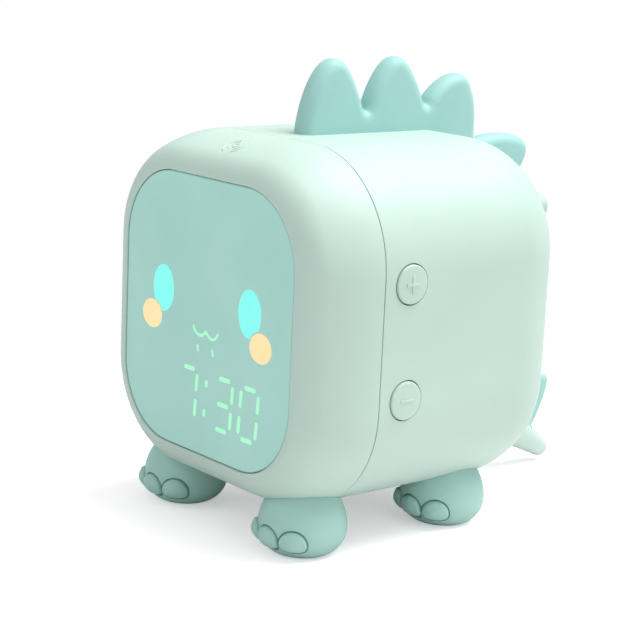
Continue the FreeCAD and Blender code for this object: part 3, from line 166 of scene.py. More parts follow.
materials = {
    "shell_plastic": mouldedPlastic("shellPlastic", (181, 204, 195), (178, 201, 192), 0.48, subsurface=0.06),
    "panel_plastic": mouldedPlastic("panelPlastic", (168, 216, 207), (162, 211, 202), 0.42, grain=0.0006),
    "crest_plastic": mouldedPlastic("crestPlastic", (152, 197, 192), (147, 192, 187), 0.5, subsurface=0.06),
    "foot_plastic": mouldedPlastic("footPlastic", (157, 198, 189), (157, 200, 191), 0.52, subsurface=0.05),
    "key_plastic": mouldedPlastic("keyPlastic", (181, 204, 195), (178, 201, 192), 0.46),
    "white_plastic": mouldedPlastic("whitePlastic", (238, 238, 234), (230, 231, 227), 0.5),
    "black_plastic": mouldedPlastic("blackPlastic", (44, 45, 47), (34, 35, 37), 0.45),
    "circuit_board": mouldedPlastic(
        "circuitBoard", (30, 108, 62), (22, 92, 52), 0.35, grain=0.002, grainScale=1800.0),
    "cell_wrap": mouldedPlastic("cellWrap", (52, 98, 168), (44, 88, 156), 0.3),
    "cool_light": litFigure("coolLight", (138, 255, 241), (128, 253, 238)),
    "warm_light": litFigure("warmLight", (255, 229, 176), (255, 225, 166)),
    "green_light": litFigure("greenLight", (176, 249, 207), (166, 246, 200)),
    "steel": rolledMetal("steelScrew", (205, 206, 208), (170, 172, 176), 0.32, (1.0, 6.0, 1.0)),
    "copper": rolledMetal("copperFoil", (222, 150, 110), (196, 122, 86), 0.35, (8.0, 1.0, 1.0)),
}
slotOf = {part["node"]: part["material_slot"] for part in frame["record"]["subparts"]}
for name, node in frame["nodes"].items():
    node.data.materials.clear()
    node.data.materials.append(materials[slotOf[name]])
print("materials on", len(frame["nodes"]), "frame nodes")


# Makes a shaded, closed object of vertices in millimetres from the middle of the body
def makePiece(name, points, faces, slotName, body="root", sharpAngle=sharpTurn):
    mesh = bpy.data.meshes.new(name)
    mesh.from_pydata([bodyMid + Vector(point) * mm for point in points], [], faces)
    return finishPiece(name, mesh, slotName, body, sharpAngle)


# Welds and shades a mesh, and enters it as a piece of a body with its material slot
def finishPiece(name, mesh, slotName, body="root", sharpAngle=sharpTurn):
    build = bmesh.new()
    build.from_mesh(mesh)
    bmesh.ops.remove_doubles(build, verts=build.verts, dist=0.002 * mm)
    bmesh.ops.recalc_face_normals(build, faces=build.faces)
    build.to_mesh(mesh)
    build.free()
    mesh.shade_smooth()
    mesh.set_sharp_from_angle(angle=math.radians(sharpAngle))
    piece = bpy.data.objects.new(name, mesh)
    bpy.context.scene.collection.objects.link(piece)
    mesh.materials.append(materials[slotName])
    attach(piece, body)
    return piece


# The finished mesh of an object with its modifiers or its curve bevel applied
def appliedMesh(thing):
    bpy.context.view_layer.update()
    graph = bpy.context.evaluated_depsgraph_get()
    return bpy.data.meshes.new_from_object(thing.evaluated_get(graph), depsgraph=graph)


def looseObject(name, data):
    thing = bpy.data.objects.new(name, data)
    bpy.context.scene.collection.objects.link(thing)
    return thing


# Cuts a list of closed (points, faces) solids out of a piece in one go
def carve(piece, solids):
    points = []
    faces = []
    for solidPoints, solidFaces in solids:
        start = len(points)
        points += [bodyMid + Vector(point) * mm for point in solidPoints]
        faces += [[start + index for index in face] for face in solidFaces]
    mesh = bpy.data.meshes.new("cutter")
    mesh.from_pydata(points, [], faces)
    build = bmesh.new()
    build.from_mesh(mesh)
    bmesh.ops.recalc_face_normals(build, faces=build.faces)
    build.to_mesh(mesh)
    build.free()
    cutter = looseObject("cutter", mesh)
    modifier = piece.modifiers.new("holes", "BOOLEAN")
    modifier.operation = "DIFFERENCE"
    modifier.solver = "EXACT"
    modifier.object = cutter
    result = appliedMesh(piece)
    piece.modifiers.clear()
    slotMaterial = piece.data.materials[0]
    piece.data = result
    result.materials.clear()
    result.materials.append(slotMaterial)
    result.shade_smooth()
    result.set_sharp_from_angle(angle=math.radians(sharpTurn))
    bpy.data.objects.remove(cutter)


# Points of a rounded rectangle round the middle of the body, in the plane y
def ring(reachX, reachZ, radius, y, perCorner=28, perSide=8):
    points = []
    corners = [(1, 1, 0), (-1, 1, 90), (-1, -1, 180), (1, -1, 270)]
    for index, (signX, signZ, startTurn) in enumerate(corners):
        centreX = signX * (reachX - radius)
        centreZ = signZ * (reachZ - radius)
        for step in range(perCorner + 1):
            turn = math.radians(startTurn + 90 * step / perCorner)
            points.append((centreX + radius * math.cos(turn), y, centreZ + radius * math.sin(turn)))
        last = points[-1]
        nextX, nextZ, nextTurn = corners[(index + 1) % 4]
        turn = math.radians(nextTurn)
        goalX = nextX * (reachX - radius) + radius * math.cos(turn)
        goalZ = nextZ * (reachZ - radius) + radius * math.sin(turn)
        for step in range(1, perSide):
            share = step / perSide
            points.append(tuple(a + (b - a) * share for a, b in zip(last, (goalX, y, goalZ))))
    return points


# Skins rings of equal length, and closes the run with two flat ends or back to its first ring
def skin(rings, endless=False):
    count = len(rings[0])
    points = [point for one in rings for point in one]
    faces = []
    spans = len(rings) if endless else len(rings) - 1
    for span in range(spans):
        first = span * count
        second = ((span + 1) % len(rings)) * count
        for step in range(count):
            after = (step + 1) % count
            faces.append((first + step, first + after, second + after, second + step))
    if not endless:
        faces.append(tuple(reversed(range(count))))
        faces.append(tuple(range((len(rings) - 1) * count, len(rings) * count)))
    return points, faces


# Turns a profile of (radius, along) about an axis that starts at origin. An endless profile is a closed loop.
def turnedSolid(profile, origin, along, segments=64, endless=False):
    along = Vector(along).normalized()
    side = along.orthogonal().normalized()
    other = along.cross(side)
    rings = []
    for radius, reach in profile:
        centre = Vector(origin) + along * reach
        rings.append([
            tuple(centre + (side * math.cos(turn) + other * math.sin(turn)) * radius)
            for turn in (2 * math.pi * step / segments for step in range(segments))
        ])
    return skin(rings, endless)


def arcPoints(centreX, centreY, radius, startTurn, endTurn, steps):
    return [
        (centreX + radius * math.cos(math.radians(turn)), centreY + radius * math.sin(math.radians(turn)))
        for turn in (startTurn + (endTurn - startTurn) * step / steps for step in range(steps + 1))
    ]


shellShape = {
    "cornerRadius": 32.0, "rearRadius": 20.2, "rimRadius": 9.9, "rimAngle": 25.0, "rimEnd": 9.8,
    "seamDepth": 21.7, "seamGap": 0.22, "seamFlat": 0.3, "edge": 0.12, "edgeInset": 0.02,
    "wall": 2.2, "tongueInset": 1.15, "tongueLength": 2.5, "innerEdge": 0.2, "innerFlat": 1.0,
    "panelGap": 0.2, "panelCorner": 21.3, "recess": 3.2, "ledgeDepth": 4.5, "lip": 2.4,
    "openingEdge": 0.3, "openingSteps": ((1.0, 0.1), (0.45, 0.16), (0.1, 0.3), (0.0, 0.5)),
}
seamY = -halfY + shellShape["seamDepth"]


# How far the front rounding has drawn in, as (inset, y) pairs from the seam to the front plane
def rimCurve(inset, broadSteps=10, tightSteps=18):
    tight = shellShape["rimRadius"]
    turn = math.radians(shellShape["rimAngle"])
    broad = (shellShape["seamDepth"] - tight * (1 - math.sin(turn))) / math.sin(turn)
    curve = []
    for step in range(broadSteps + 1):
        now = turn * step / broadSteps
        curve.append((broad - (broad - inset) * math.cos(now), seamY - (broad - inset) * math.sin(now)))
    centreInset = broad - (broad - tight) * math.cos(turn)
    centreY = seamY - (broad - tight) * math.sin(turn)
    for step in range(1, tightSteps + 1):
        now = turn + (math.pi / 2 - turn) * step / tightSteps
        reach = tight - inset
        curve.append((centreInset - reach * math.cos(now), centreY - reach * math.sin(now)))
    return curve


def insetRing(inset, y):
    return ring(halfX - inset, halfZ - inset, shellShape["cornerRadius"] - inset, y)


# Inset of the body's outside at a distance y from its middle
def insetAt(y):
    if y >= seamY:
        rear = shellShape["rearRadius"]
        run = max(y - (halfY - rear), 0)
        return rear - math.sqrt(max(rear ** 2 - run ** 2, 0))
    curve = rimCurve(0, 40, 80)
    for (insetA, yA), (insetB, yB) in zip(curve, curve[1:]):
        if yB <= y <= yA:
            return insetA + (insetB - insetA) * (yA - y) / max(yA - yB, 1e-9)
    return curve[-1][0]


# Height of the body's underside below its middle at x, y
def undersideAt(x, y):
    inset = insetAt(y)
    radius = shellShape["cornerRadius"]
    run = max(abs(x) - (halfX - radius), 0)
    return -(halfZ - radius) - math.sqrt(max((radius - inset) ** 2 - run ** 2, 0))


# The front shell: from the seam over the rounding, through the panel's opening and its ledge, and back inside
def makeFrontShell():
    shape = shellShape
    gapEdge = seamY - shape["seamGap"]
    openX = panelHigh[0] / mm + shape["panelGap"]
    openZ = (panelHigh[2] - panelLow[2]) / 2 / mm + shape["panelGap"]
    openRadius = shape["panelCorner"] + shape["panelGap"]
    front = -halfY
    wall = shape["wall"]
    lip = shape["lip"]
    rings = [insetRing(shape["edge"], gapEdge), insetRing(shape["edgeInset"], gapEdge - shape["edge"])]
    for inset, y in rimCurve(0):
        if y < gapEdge - shape["seamFlat"] and inset < shape["rimEnd"]:
            rings.append(insetRing(inset, y))
    for share, depth in (*shape["openingSteps"], (0.0, shape["recess"])):
        grow = shape["openingEdge"] * share
        rings.append(ring(openX + grow, openZ + grow, openRadius + grow, front + depth))
    for depth in (shape["recess"], shape["ledgeDepth"]):
        rings.append(ring(openX - lip, openZ - lip, openRadius - lip, front + depth))
    for inset, y in reversed(rimCurve(wall, 6, 10)):
        if front + shape["ledgeDepth"] < y < gapEdge - shape["innerFlat"]:
            rings.append(insetRing(inset, y))
    rings.append(insetRing(wall, gapEdge - shape["innerEdge"]))
    rings.append(insetRing(wall - shape["innerEdge"], gapEdge))
    piece = makePiece("front_shell_skin", *skin(rings, endless=True), "shell_plastic")
    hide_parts("front_shell")
    print("front shell", len(rings), "rings")


def discSolid(centre, along, radius, length, segments=48):
    return turnedSolid([(radius, 0.0), (radius, length)], centre, along, segments)


keyShape = {
    "radius": 5.35, "gap": 0.35, "edge": 0.55, "dome": 0.15, "domeShares": (0.25, 0.5, 0.75, 0.9),
    "faceInset": 0.25, "depth": 2.6, "skirt": 0.5, "flange": 6.9, "flangeThick": 0.9, "stem": 1.8,
    "stemLength": 3.5, "boreIn": 8.0, "boreLong": 16.0,
}
keyNodes = {"plus_key": 1, "minus_key": 1, "set_key": -1, "alarm_key": -1}


# Middle of a node's box, in millimetres from the middle of the body
def nodeMiddle(name):
    low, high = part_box(name)
    return ((Vector(low) + Vector(high)) / 2 - bodyMid) / mm


backShape = {
    "sideShares": (0.02, 0.2, 0.4, 0.6, 0.8, 1.0), "roundSteps": 24, "innerSteps": 12, "soundX": -18.7,
    "soundZ": 3.0, "soundHole": 0.9, "soundPitch": 3.4, "soundRings": 3, "soundIn": 6.0, "soundLong": 12.0,
    "wellX": 35.5, "wellZ": 31.5, "wellRadius": 2.9, "wellIn": 8.0, "wellLong": 16.0, "postRadius": 3.6,
    "postLong": 70.0, "postFloor": 3.0, "postGap": 0.3, "portGap": 0.2, "portIn": 6.0, "portOut": 2.0,
}
screwWells = [
    (signX * backShape["wellX"], signZ * backShape["wellZ"], across + "_" + level)
    for signX, across in ((1, "right"), (-1, "left"))
    for signZ, level in ((1, "upper"), (-1, "lower"))
]


# Outside of the rear shell, from the end of its tongue to the flat of the back
def rearOutside():
    shape = shellShape
    rear = shape["rearRadius"]
    tongueEnd = seamY - shape["tongueLength"]
    tongue = shape["tongueInset"]
    rings = [insetRing(shape["wall"], tongueEnd), insetRing(tongue, tongueEnd), insetRing(tongue, seamY)]
    rings += [insetRing(shape["edge"], seamY), insetRing(shape["edgeInset"], seamY + shape["edge"])]
    for share in backShape["sideShares"]:
        rings.append(insetRing(0.0, seamY + (halfY - rear - seamY) * share))
    for step in range(1, backShape["roundSteps"] + 1):
        turn = math.pi / 2 * step / backShape["roundSteps"]
        rings.append(insetRing(rear * (1 - math.cos(turn)), halfY - rear * (1 - math.sin(turn))))
    return rings


# Its inside, from the back to the end of the tongue
def rearInside():
    wall = shellShape["wall"]
    rear = shellShape["rearRadius"] - wall
    rings = []
    for step in range(backShape["innerSteps"], -1, -1):
        turn = math.pi / 2 * step / backShape["innerSteps"]
        y = halfY - wall - rear * (1 - math.sin(turn))
        rings.append(insetRing(wall + rear * (1 - math.cos(turn)), y))
    rings.append(insetRing(wall, seamY - shellShape["tongueLength"]))
    return rings


# Bores for the keys, the sound and the screws
def rearBores():
    back = backShape
    bores = []
    for name, side in keyNodes.items():
        middle = nodeMiddle(name)
        start = (side * (halfX - keyShape["boreIn"]), middle.y, middle.z)
        radius = keyShape["radius"] + keyShape["gap"]
        bores.append(discSolid(start, (side, 0, 0), radius, keyShape["boreLong"], 96))
    for level in range(back["soundRings"]):
        number = max(6 * level, 1)
        for step in range(number):
            turn = 2 * math.pi * step / number
            x = back["soundX"] + level * back["soundPitch"] * math.cos(turn)
            z = back["soundZ"] + level * back["soundPitch"] * math.sin(turn)
            start = (x, halfY - back["soundIn"], z)
            bores.append(discSolid(start, (0, 1, 0), back["soundHole"], back["soundLong"], 24))
    for x, z, name in screwWells:
        start = (x, halfY - back["wellIn"], z)
        bores.append(discSolid(start, (0, 1, 0), back["wellRadius"], back["wellLong"]))
    return bores


# The charging socket's opening, a long hole with round ends
def portOpening():
    low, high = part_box("charging_port")
    middle = nodeMiddle("charging_port")
    wide = (high[0] - low[0]) / 2 / mm + backShape["portGap"]
    tall = (high[2] - low[2]) / 2 / mm + backShape["portGap"]
    return skin([
        [(x + middle.x, y, z + middle.z) for x, y, z in ring(wide, tall, tall - onAxis, depth, 12, 3)]
        for depth in (halfY - backShape["portIn"], halfY + backShape["portOut"])
    ])


# The rear shell: its outside without the front cap, joined at the tongue to its inside
def makeRearShell():
    points, outerFaces = skin(rearOutside())
    innerPoints, innerFaces = skin(rearInside())
    faces = outerFaces[:-2] + outerFaces[-1:]
    faces += [tuple(len(points) + index for index in face) for face in innerFaces[:-1]]
    piece = makePiece("rear_shell_skin", points + innerPoints, faces, "shell_plastic")
    bores = rearBores()
    carve(piece, bores)
    carve(piece, [portOpening()])
    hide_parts("rear_shell")
    print("rear shell with", len(bores) + 1, "openings")


# Hollow posts in line with the screw wells, on the inside of the back
def makeScrewPosts():
    back = backShape
    bore = back["wellRadius"]
    long = back["postLong"]
    sleeve = [(onAxis, 0.0), (back["postRadius"], 0.0), (back["postRadius"], long), (bore, long)]
    sleeve += [(bore, back["postFloor"]), (onAxis, back["postFloor"])]
    y = halfY - shellShape["wall"] - long - back["postGap"]
    for x, z, name in screwWells:
        makePiece("screw_post_" + name, *turnedSolid(sleeve, (x, y, z), (0, 1, 0), 32), "shell_plastic")


makeFrontShell()
makeRearShell()
makeScrewPosts()


# A stroke with round ends from a to b
def pill(ax, az, bx, bz, wide, steps=8):
    turn = math.atan2(bz - az, bx - ax)
    points = []
    for (x, z), start in (((bx, bz), turn - math.pi / 2), ((ax, az), turn + math.pi / 2)):
        for step in range(steps + 1):
            now = start + math.pi * step / steps
            points.append((x + wide / 2 * math.cos(now), z + wide / 2 * math.sin(now)))
    return points


signShape = {
    "arm": 4.8, "wide": 0.95, "tall": 0.22, "sink": 0.15, "ease": 0.1, "easeShare": 0.3, "hoopWide": 0.95,
    "hoopDrop": 0.08, "dotRadius": 1.6, "dotRise": 0.6, "crownDrop": 0.02, "lineDrop": 1.9, "lineShare": 0.8,
}


# Outlines of the signs: arm is their reach from the middle, half is half the width of a stroke
def plusOutline(arm, half):
    points = []
    for turn in range(4):
        for y, z in ((half, half), (half, arm), (-half, arm)):
            for step in range(turn):
                y, z = -z, y
            points.append((y, z))
    return points


def barOutline(arm, half):
    return pill(-(arm - half), 0, arm - half, 0, 2 * half, 10)


# A raised sign: its outline runs up from the key's face and ends in a small eased edge
def raisedSign(name, outline, arm, half, side, place, body):
    shape = signShape
    ease = shape["ease"]
    tall = shape["tall"]
    part = ease * shape["easeShare"]
    rings = []
    for out, inset in ((-shape["sink"], 0.0), (tall - ease, 0.0), (tall - part, part), (tall, ease)):
        rings.append([
            (place[0] + side * out, place[1] + y, place[2] + z)
            for y, z in outline(arm - inset, half - inset)
        ])
    makePiece(name, *skin(rings), "key_plastic", body, 30.0)


# A plus, a minus, a hoop for the setting key, and a dot over a line for the alarm key
def makeSign(name, side, place, body):
    shape = signShape
    arm = shape["arm"] / 2
    half = shape["wide"] / 2
    tall = shape["tall"]
    sink = shape["sink"]
    ease = shape["ease"]
    along = (side, 0, 0)
    if name == "plus_key":
        raisedSign(name + "_sign", plusOutline, arm, half, side, place, body)
    if name == "minus_key":
        raisedSign(name + "_sign", barOutline, arm, half, side, place, body)
    if name == "set_key":
        inner = arm - shape["hoopWide"]
        shoulder = tall - shape["hoopDrop"]
        hoop = [(arm, -sink), (arm, shoulder), (arm - ease, tall)]
        hoop += [(inner + ease, tall), (inner, shoulder), (inner, -sink)]
        makePiece(name + "_sign", *turnedSolid(hoop, place, along, 64, endless=True), "key_plastic", body)
    if name == "alarm_key":
        radius = shape["dotRadius"]
        dome = [(radius, -sink), (radius, tall - ease), (radius - ease, tall - shape["crownDrop"])]
        dome += [(radius - 3 * ease, tall), (onAxis, tall)]
        dotPlace = (place[0], place[1], place[2] + shape["dotRise"])
        linePlace = (place[0], place[1], place[2] - shape["lineDrop"])
        makePiece(name + "_sign", *turnedSolid(dome, dotPlace, along, 48), "key_plastic", body)
        raisedSign(name + "_line", barOutline, arm, half * shape["lineShare"], side, linePlace, body)


# Keys: a domed cap with a rounded edge, its flange and stem, and a thin raised sign
def makeKey(name, side):
    shape = keyShape
    low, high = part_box(name)
    middle = nodeMiddle(name)
    face = (high[0] if side > 0 else -low[0]) / mm - shape["faceInset"]
    place = (side * face, middle.y, middle.z)
    body = name.replace("_key", "_button")
    radius = shape["radius"]
    edge = shape["edge"]
    profile = [(onAxis, 0.0)]
    for share in shape["domeShares"]:
        profile.append(((radius - edge) * share, shape["dome"] * share ** 2))
    for turn in range(0, 91, 18):
        lean = math.radians(turn)
        profile.append((radius - edge + edge * math.sin(lean), shape["dome"] + edge * (1 - math.cos(lean))))
    flangeTop = shape["depth"] + shape["skirt"]
    flangeEnd = flangeTop + shape["flangeThick"]
    stemEnd = flangeEnd + shape["stemLength"]
    profile += [(radius, flangeTop), (shape["flange"], flangeTop), (shape["flange"], flangeEnd)]
    profile += [(shape["stem"], flangeEnd), (shape["stem"], stemEnd), (onAxis, stemEnd)]
    cap = makePiece(name + "_cap", *turnedSolid(profile, place, (-side, 0, 0), 96), "key_plastic", body)
    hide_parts(name)
    makeSign(name, side, place, body)


for name, side in keyNodes.items():
    makeKey(name, side)
print("keys", len(keyNodes))


# Blades: the crest and the tail's fin, drawn side-on and rounded all along the edge. A knot is a point (y, z)
# from the middle of the body with its handle before and its handle after. None leaves a corner there.
def blade(name, knots, slotName, halfThick, rounding, *nodes):
    data = bpy.data.curves.new(name, "CURVE")
    data.dimensions = "2D"
    data.fill_mode = "BOTH"
    data.resolution_u = 24
    spline = data.splines.new("BEZIER")
    spline.bezier_points.add(len(knots) - 1)
    spline.use_cyclic_u = True
    for point, (knot, before, after) in zip(spline.bezier_points, knots):
        point.handle_left_type = "FREE"
        point.handle_right_type = "FREE"
        point.co = (*knot, 0.0)
        point.handle_left = (*(before or knot), 0.0)
        point.handle_right = (*(after or knot), 0.0)
    data.extrude = halfThick - rounding
    data.bevel_depth = rounding
    data.bevel_resolution = 8
    data.offset = -rounding
    drawn = looseObject(name + "_drawn", data)
    mesh = appliedMesh(drawn)
    bpy.data.objects.remove(drawn)
    upright = Matrix(((0, 0, 1, 0), (1, 0, 0, 0), (0, 1, 0, 0), (0, 0, 0, 1)))
    mesh.transform(upright)
    for vert in mesh.vertices:
        vert.co = bodyMid + vert.co * mm
    piece = finishPiece(name, mesh, slotName, sharpAngle=50.0)
    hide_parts(*nodes)


crestShape = {"halfThick": 3.8, "rounding": 3.2}
crestKnots = [
    ((-17.4, 44.9), None, (-17.0, 60.4)),
    ((-5.4, 71.0), (-10.8, 71.0), (-0.6, 71.0)),
    ((4.6, 58.0), (3.1, 61.7), (4.95, 57.1)),
    ((5.9, 56.3), (5.3, 56.3), (6.5, 56.3)),
    ((7.1, 58.0), (6.8, 57.1), (8.1, 61.6)),
    ((17.8, 71.4), (12.6, 71.4), (22.0, 71.4)),
    ((27.9, 59.0), (26.7, 62.0), (28.2, 58.2)),
    ((29.0, 57.5), (28.5, 57.5), (29.7, 57.5)),
    ((30.6, 59.3), (30.1, 58.6), (33.0, 62.2)),
    ((42.5, 66.1), (37.8, 66.1), (46.8, 66.1)),
    ((49.6, 46.0), (50.6, 58.4), (56.0, 47.8)),
    ((72.8, 42.0), (72.8, 49.4), (72.8, 36.5)),
    ((57.3, 20.5), (62.5, 28.5), (62.0, 21.5)),
    ((71.0, 10.5), (71.0, 16.5), (71.0, 5.0)),
    ((42.5, -14.4), (54.0, -7.2), None),
    ((42.5, 29.8), None, (42.5, 38.2)),
    ((27.3, 45.0), (35.7, 45.0), None),
]
blade("crest_skin", crestKnots, "crest_plastic", crestShape["halfThick"], crestShape["rounding"], "crest")
print("crest")

# Tail: a slim round cone that leaves the back and falls, with a round tip
tailShape = {
    "tilt": 31.2, "sink": 8.0, "rise": -26.35, "root": 11.9, "tip": 3.1, "tipTurn": 89.5, "length": 61.9,
    "start": 6.5, "coneShares": (0.2, 0.4, 0.6, 0.8),
}


# A place on the tail: reach is along its axis from the root, out is over the axis
def tailSpot(reach, out):
    tilt = math.radians(tailShape["tilt"])
    y = halfY - tailShape["sink"] + reach * math.cos(tilt) + out * math.sin(tilt)
    return y, tailShape["rise"] - reach * math.sin(tilt) + out * math.cos(tilt)


def makeTail():
    shape = tailShape
    run = shape["length"] - shape["tip"]
    lean = math.degrees(math.atan((shape["root"] - shape["tip"]) / run))
    slope = math.tan(math.radians(lean))
    profile = [(shape["root"] - slope * shape["start"], shape["start"])]
    for share in shape["coneShares"]:
        reach = shape["start"] + (run - shape["start"]) * share
        profile.append((shape["root"] - slope * reach, reach))
    profile += [(x, run + y) for x, y in arcPoints(0, 0, shape["tip"], lean, shape["tipTurn"], 12)]
    y, z = tailSpot(0, 0)
    tilt = math.radians(shape["tilt"])
    along = (0, math.cos(tilt), -math.sin(tilt))
    piece = makePiece("tail_skin", *turnedSolid(profile, (0, y, z), along, 72), "shell_plastic")
    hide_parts("tail")


makeTail()
finShape = {"halfThick": 2.6, "rounding": 2.0}
finKnots = [
    (tailSpot(12.5, 3.0), None, tailSpot(14.0, 12.0)),
    (tailSpot(23.5, 21.0), tailSpot(19.5, 20.0), tailSpot(26.5, 21.0)),
    (tailSpot(31.0, 10.8), tailSpot(29.5, 15.0), tailSpot(33.0, 15.0)),
    (tailSpot(46.5, 21.0), tailSpot(42.0, 20.5), tailSpot(49.0, 20.5)),
    (tailSpot(50.0, 2.0), tailSpot(51.0, 10.0), None),
]
blade("tail_fin_skin", finKnots, "crest_plastic", finShape["halfThick"], finShape["rounding"], "tail_fin")
print("tail and fin")

footShape = {
    "radius": 12.45, "belly": 7.2, "sole": 7.5, "soleShares": (0.25, 0.6, 0.97), "soleEase": 0.12,
    "shoulder": 15.0, "tall": 18.6, "roofFrom": 6.0, "roofGap": 0.03, "levels": 52,
    "crownShares": (0.8, 0.5, 0.2), "groove": 0.45, "grooveDeep": 0.8, "cutProud": 2.0, "lowest": 0.2,
    "toeAngle": 39.0, "toeWide": 3.9, "toeUp": 3.6, "toeDown": 2.5, "toeRise": 5.2, "toeProud": 1.9,
    "toeRoot": 0.3, "toeRim": 0.1, "archPower": 2.0, "flatPower": 2.6, "rimShare": 0.28,
    "rimRise": 0.62, "toeCrown": ((0.5, 0.82), (0.25, 0.95), (0.05, 1.0)),
}


# Radius of a foot at a height over its sole: a low bowl up to the belly, then a long shoulder
def footRadiusAt(z):
    shape = footShape
    sole = shape["sole"]
    low = (shape["belly"] ** 2 + (shape["radius"] - sole) ** 2) / (2 * (shape["radius"] - sole))
    if z < shape["belly"]:
        return shape["radius"] - low + math.sqrt(max(low ** 2 - (shape["belly"] - z) ** 2, 0))
    return shape["radius"] - shape["shoulder"] + math.sqrt(shape["shoulder"] ** 2 - (z - shape["belly"]) ** 2)


# A toe's outline about its own centre: a full arch above and a flatter curve below
def toeOutline(turn, grow):
    across = math.cos(turn)
    up = math.sin(turn)
    wide = footShape["toeWide"] + grow
    tall = (footShape["toeUp"] if up > 0 else footShape["toeDown"]) + grow
    power = footShape["archPower"] if up > 0 else footShape["flatPower"]
    reach = (abs(across / wide) ** power + abs(up / tall) ** power) ** (-1 / power)
    return across * reach, up * reach


# A toe pad on the foot: rings from its rim to its crown, each at a height over the foot's round wall
def toeSolid(footX, footY, toeTurn, grow, steps, segments=72):
    rings = []
    for share, height in steps:
        one = []
        for step in range(segments):
            across, up = toeOutline(2 * math.pi * step / segments, grow)
            z = footShape["toeRise"] + up * share
            wallRadius = footRadiusAt(max(z, footShape["lowest"]))
            turn = toeTurn + across * share / wallRadius
            reach = wallRadius + height
            one.append((footX + reach * math.sin(turn), footY - reach * math.cos(turn), floorZ + z))
        rings.append(one)
    return skin(rings)


# Height at which a foot's wall meets the body at this turn, found by halving
def roofAt(footX, footY, turn):
    below, above = footShape["roofFrom"], footShape["tall"]
    for step in range(30):
        z = (below + above) / 2
        radius = footRadiusAt(z)
        roof = undersideAt(footX + radius * math.cos(turn), footY + radius * math.sin(turn)) - floorZ
        if z < roof - footShape["roofGap"]:
            below = z
        else:
            above = z
    return below


# One foot: rings from the sole up to just under the body, where the crown follows the body's underside
def makeFoot(name):
    shape = footShape
    low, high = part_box(name)
    footX = (low[0] + high[0]) / 2 / mm
    footY = (high[1] - bodyMid.y) / mm - shape["radius"]
    turns = [2 * math.pi * step / 144 for step in range(144)]
    roofs = [roofAt(footX, footY, turn) for turn in turns]
    rings = []
    for share in shape["soleShares"]:
        radius = shape["sole"] * share
        rings.append([
            (footX + radius * math.cos(turn), footY + radius * math.sin(turn), floorZ)
            for turn in turns
        ])
    for level in range(shape["levels"] + 1):
        one = []
        for turn, roof in zip(turns, roofs):
            z = shape["soleEase"] + (roof - shape["soleEase"]) * level / shape["levels"]
            radius = footRadiusAt(z)
            one.append((footX + radius * math.cos(turn), footY + radius * math.sin(turn), floorZ + z))
        rings.append(one)
    rim = rings[-1]
    for share in shape["crownShares"]:
        one = []
        for x, y, z in rim:
            nearX = footX + (x - footX) * share
            nearY = footY + (y - footY) * share
            one.append((nearX, nearY, undersideAt(nearX, nearY) - shape["roofGap"]))
        rings.append(one)
    piece = makePiece(name + "_skin", *skin(rings), "foot_plastic")
    toeTurns = [math.radians(shape["toeAngle"]) * side for side in (-1, 0, 1)]
    for turn in toeTurns:
        steps = [(1.0, -shape["grooveDeep"]), (1.0, shape["grooveDeep"] + shape["cutProud"])]
        carve(piece, [toeSolid(footX, footY, turn, shape["groove"], steps)])
    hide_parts(name)
    for index, turn in enumerate(toeTurns):
        steps = [(1.0, -shape["grooveDeep"] - shape["toeRoot"]), (1.0, -shape["toeRim"])]
        for bend in range(10, 90, 15):
            lean = math.radians(bend)
            share = 1 - shape["rimShare"] + shape["rimShare"] * math.cos(lean)
            steps.append((share, shape["rimRise"] * shape["toeProud"] * math.sin(lean)))
        steps += [(share, rise * shape["toeProud"]) for share, rise in shape["toeCrown"]]
        toeName = "%s_toe_%d" % (name, index + 1)
        makePiece(toeName, *toeSolid(footX, footY, turn, 0.0, steps), "foot_plastic")


for name in ("front_left_foot", "front_right_foot", "rear_left_foot", "rear_right_foot"):
    makeFoot(name)
print("feet")


# Lit figures: thin skins on the face of the panel
panelFace = (panelLow[1] - bodyMid.y) / mm
figure = {"sunk": 0.3, "proud": 0.05}
face = {
    "eyeX": 20.2, "eyeZ": 5.2, "eyeWide": 10.0, "eyeTall": 13.4,
    "cheekX": 25.5, "cheekZ": -3.2, "cheekWide": 9.6, "cheekTall": 8.3, "biteGap": 0.45,
}


# A flat figure of outline points (x, z), as a closed thin solid on the panel
def litPiece(name, outline, slotName):
    count = len(outline)
    points = [(x, panelFace + figure["sunk"], z) for x, z in outline]
    points += [(x, panelFace - figure["proud"], z) for x, z in outline]
    faces = [tuple(range(count)), tuple(reversed(range(count, 2 * count)))]
    faces += [(step, (step + 1) % count, count + (step + 1) % count, count + step) for step in range(count)]
    return makePiece(name, points, faces, slotName)


def ellipsePoints(x, z, wide, tall, steps=72):
    turns = [2 * math.pi * step / steps for step in range(steps)]
    return [(x + wide / 2 * math.cos(turn), z + tall / 2 * math.sin(turn)) for turn in turns]


# The eye's ellipse, pushed back wherever the cheek's would overlap it
def eyePoints(side):
    points = []
    cheekX = side * face["cheekX"]
    reachX = face["cheekWide"] / 2 + face["biteGap"]
    reachZ = face["cheekTall"] / 2 + face["biteGap"]
    for x, z in ellipsePoints(side * face["eyeX"], face["eyeZ"], face["eyeWide"], face["eyeTall"], 144):
        across = (x - cheekX) / reachX
        up = (z - face["cheekZ"]) / reachZ
        inside = math.hypot(across, up)
        if inside < 1:
            x = cheekX + reachX * across / inside
            z = face["cheekZ"] + reachZ * up / inside
        points.append((x, z))
    return points


for side, sideName in ((1, "right"), (-1, "left")):
    litPiece("eye_" + sideName, eyePoints(side), "cool_light")
    cheek = ellipsePoints(side * face["cheekX"], face["cheekZ"], face["cheekWide"], face["cheekTall"])
    litPiece("cheek_" + sideName, cheek, "warm_light")


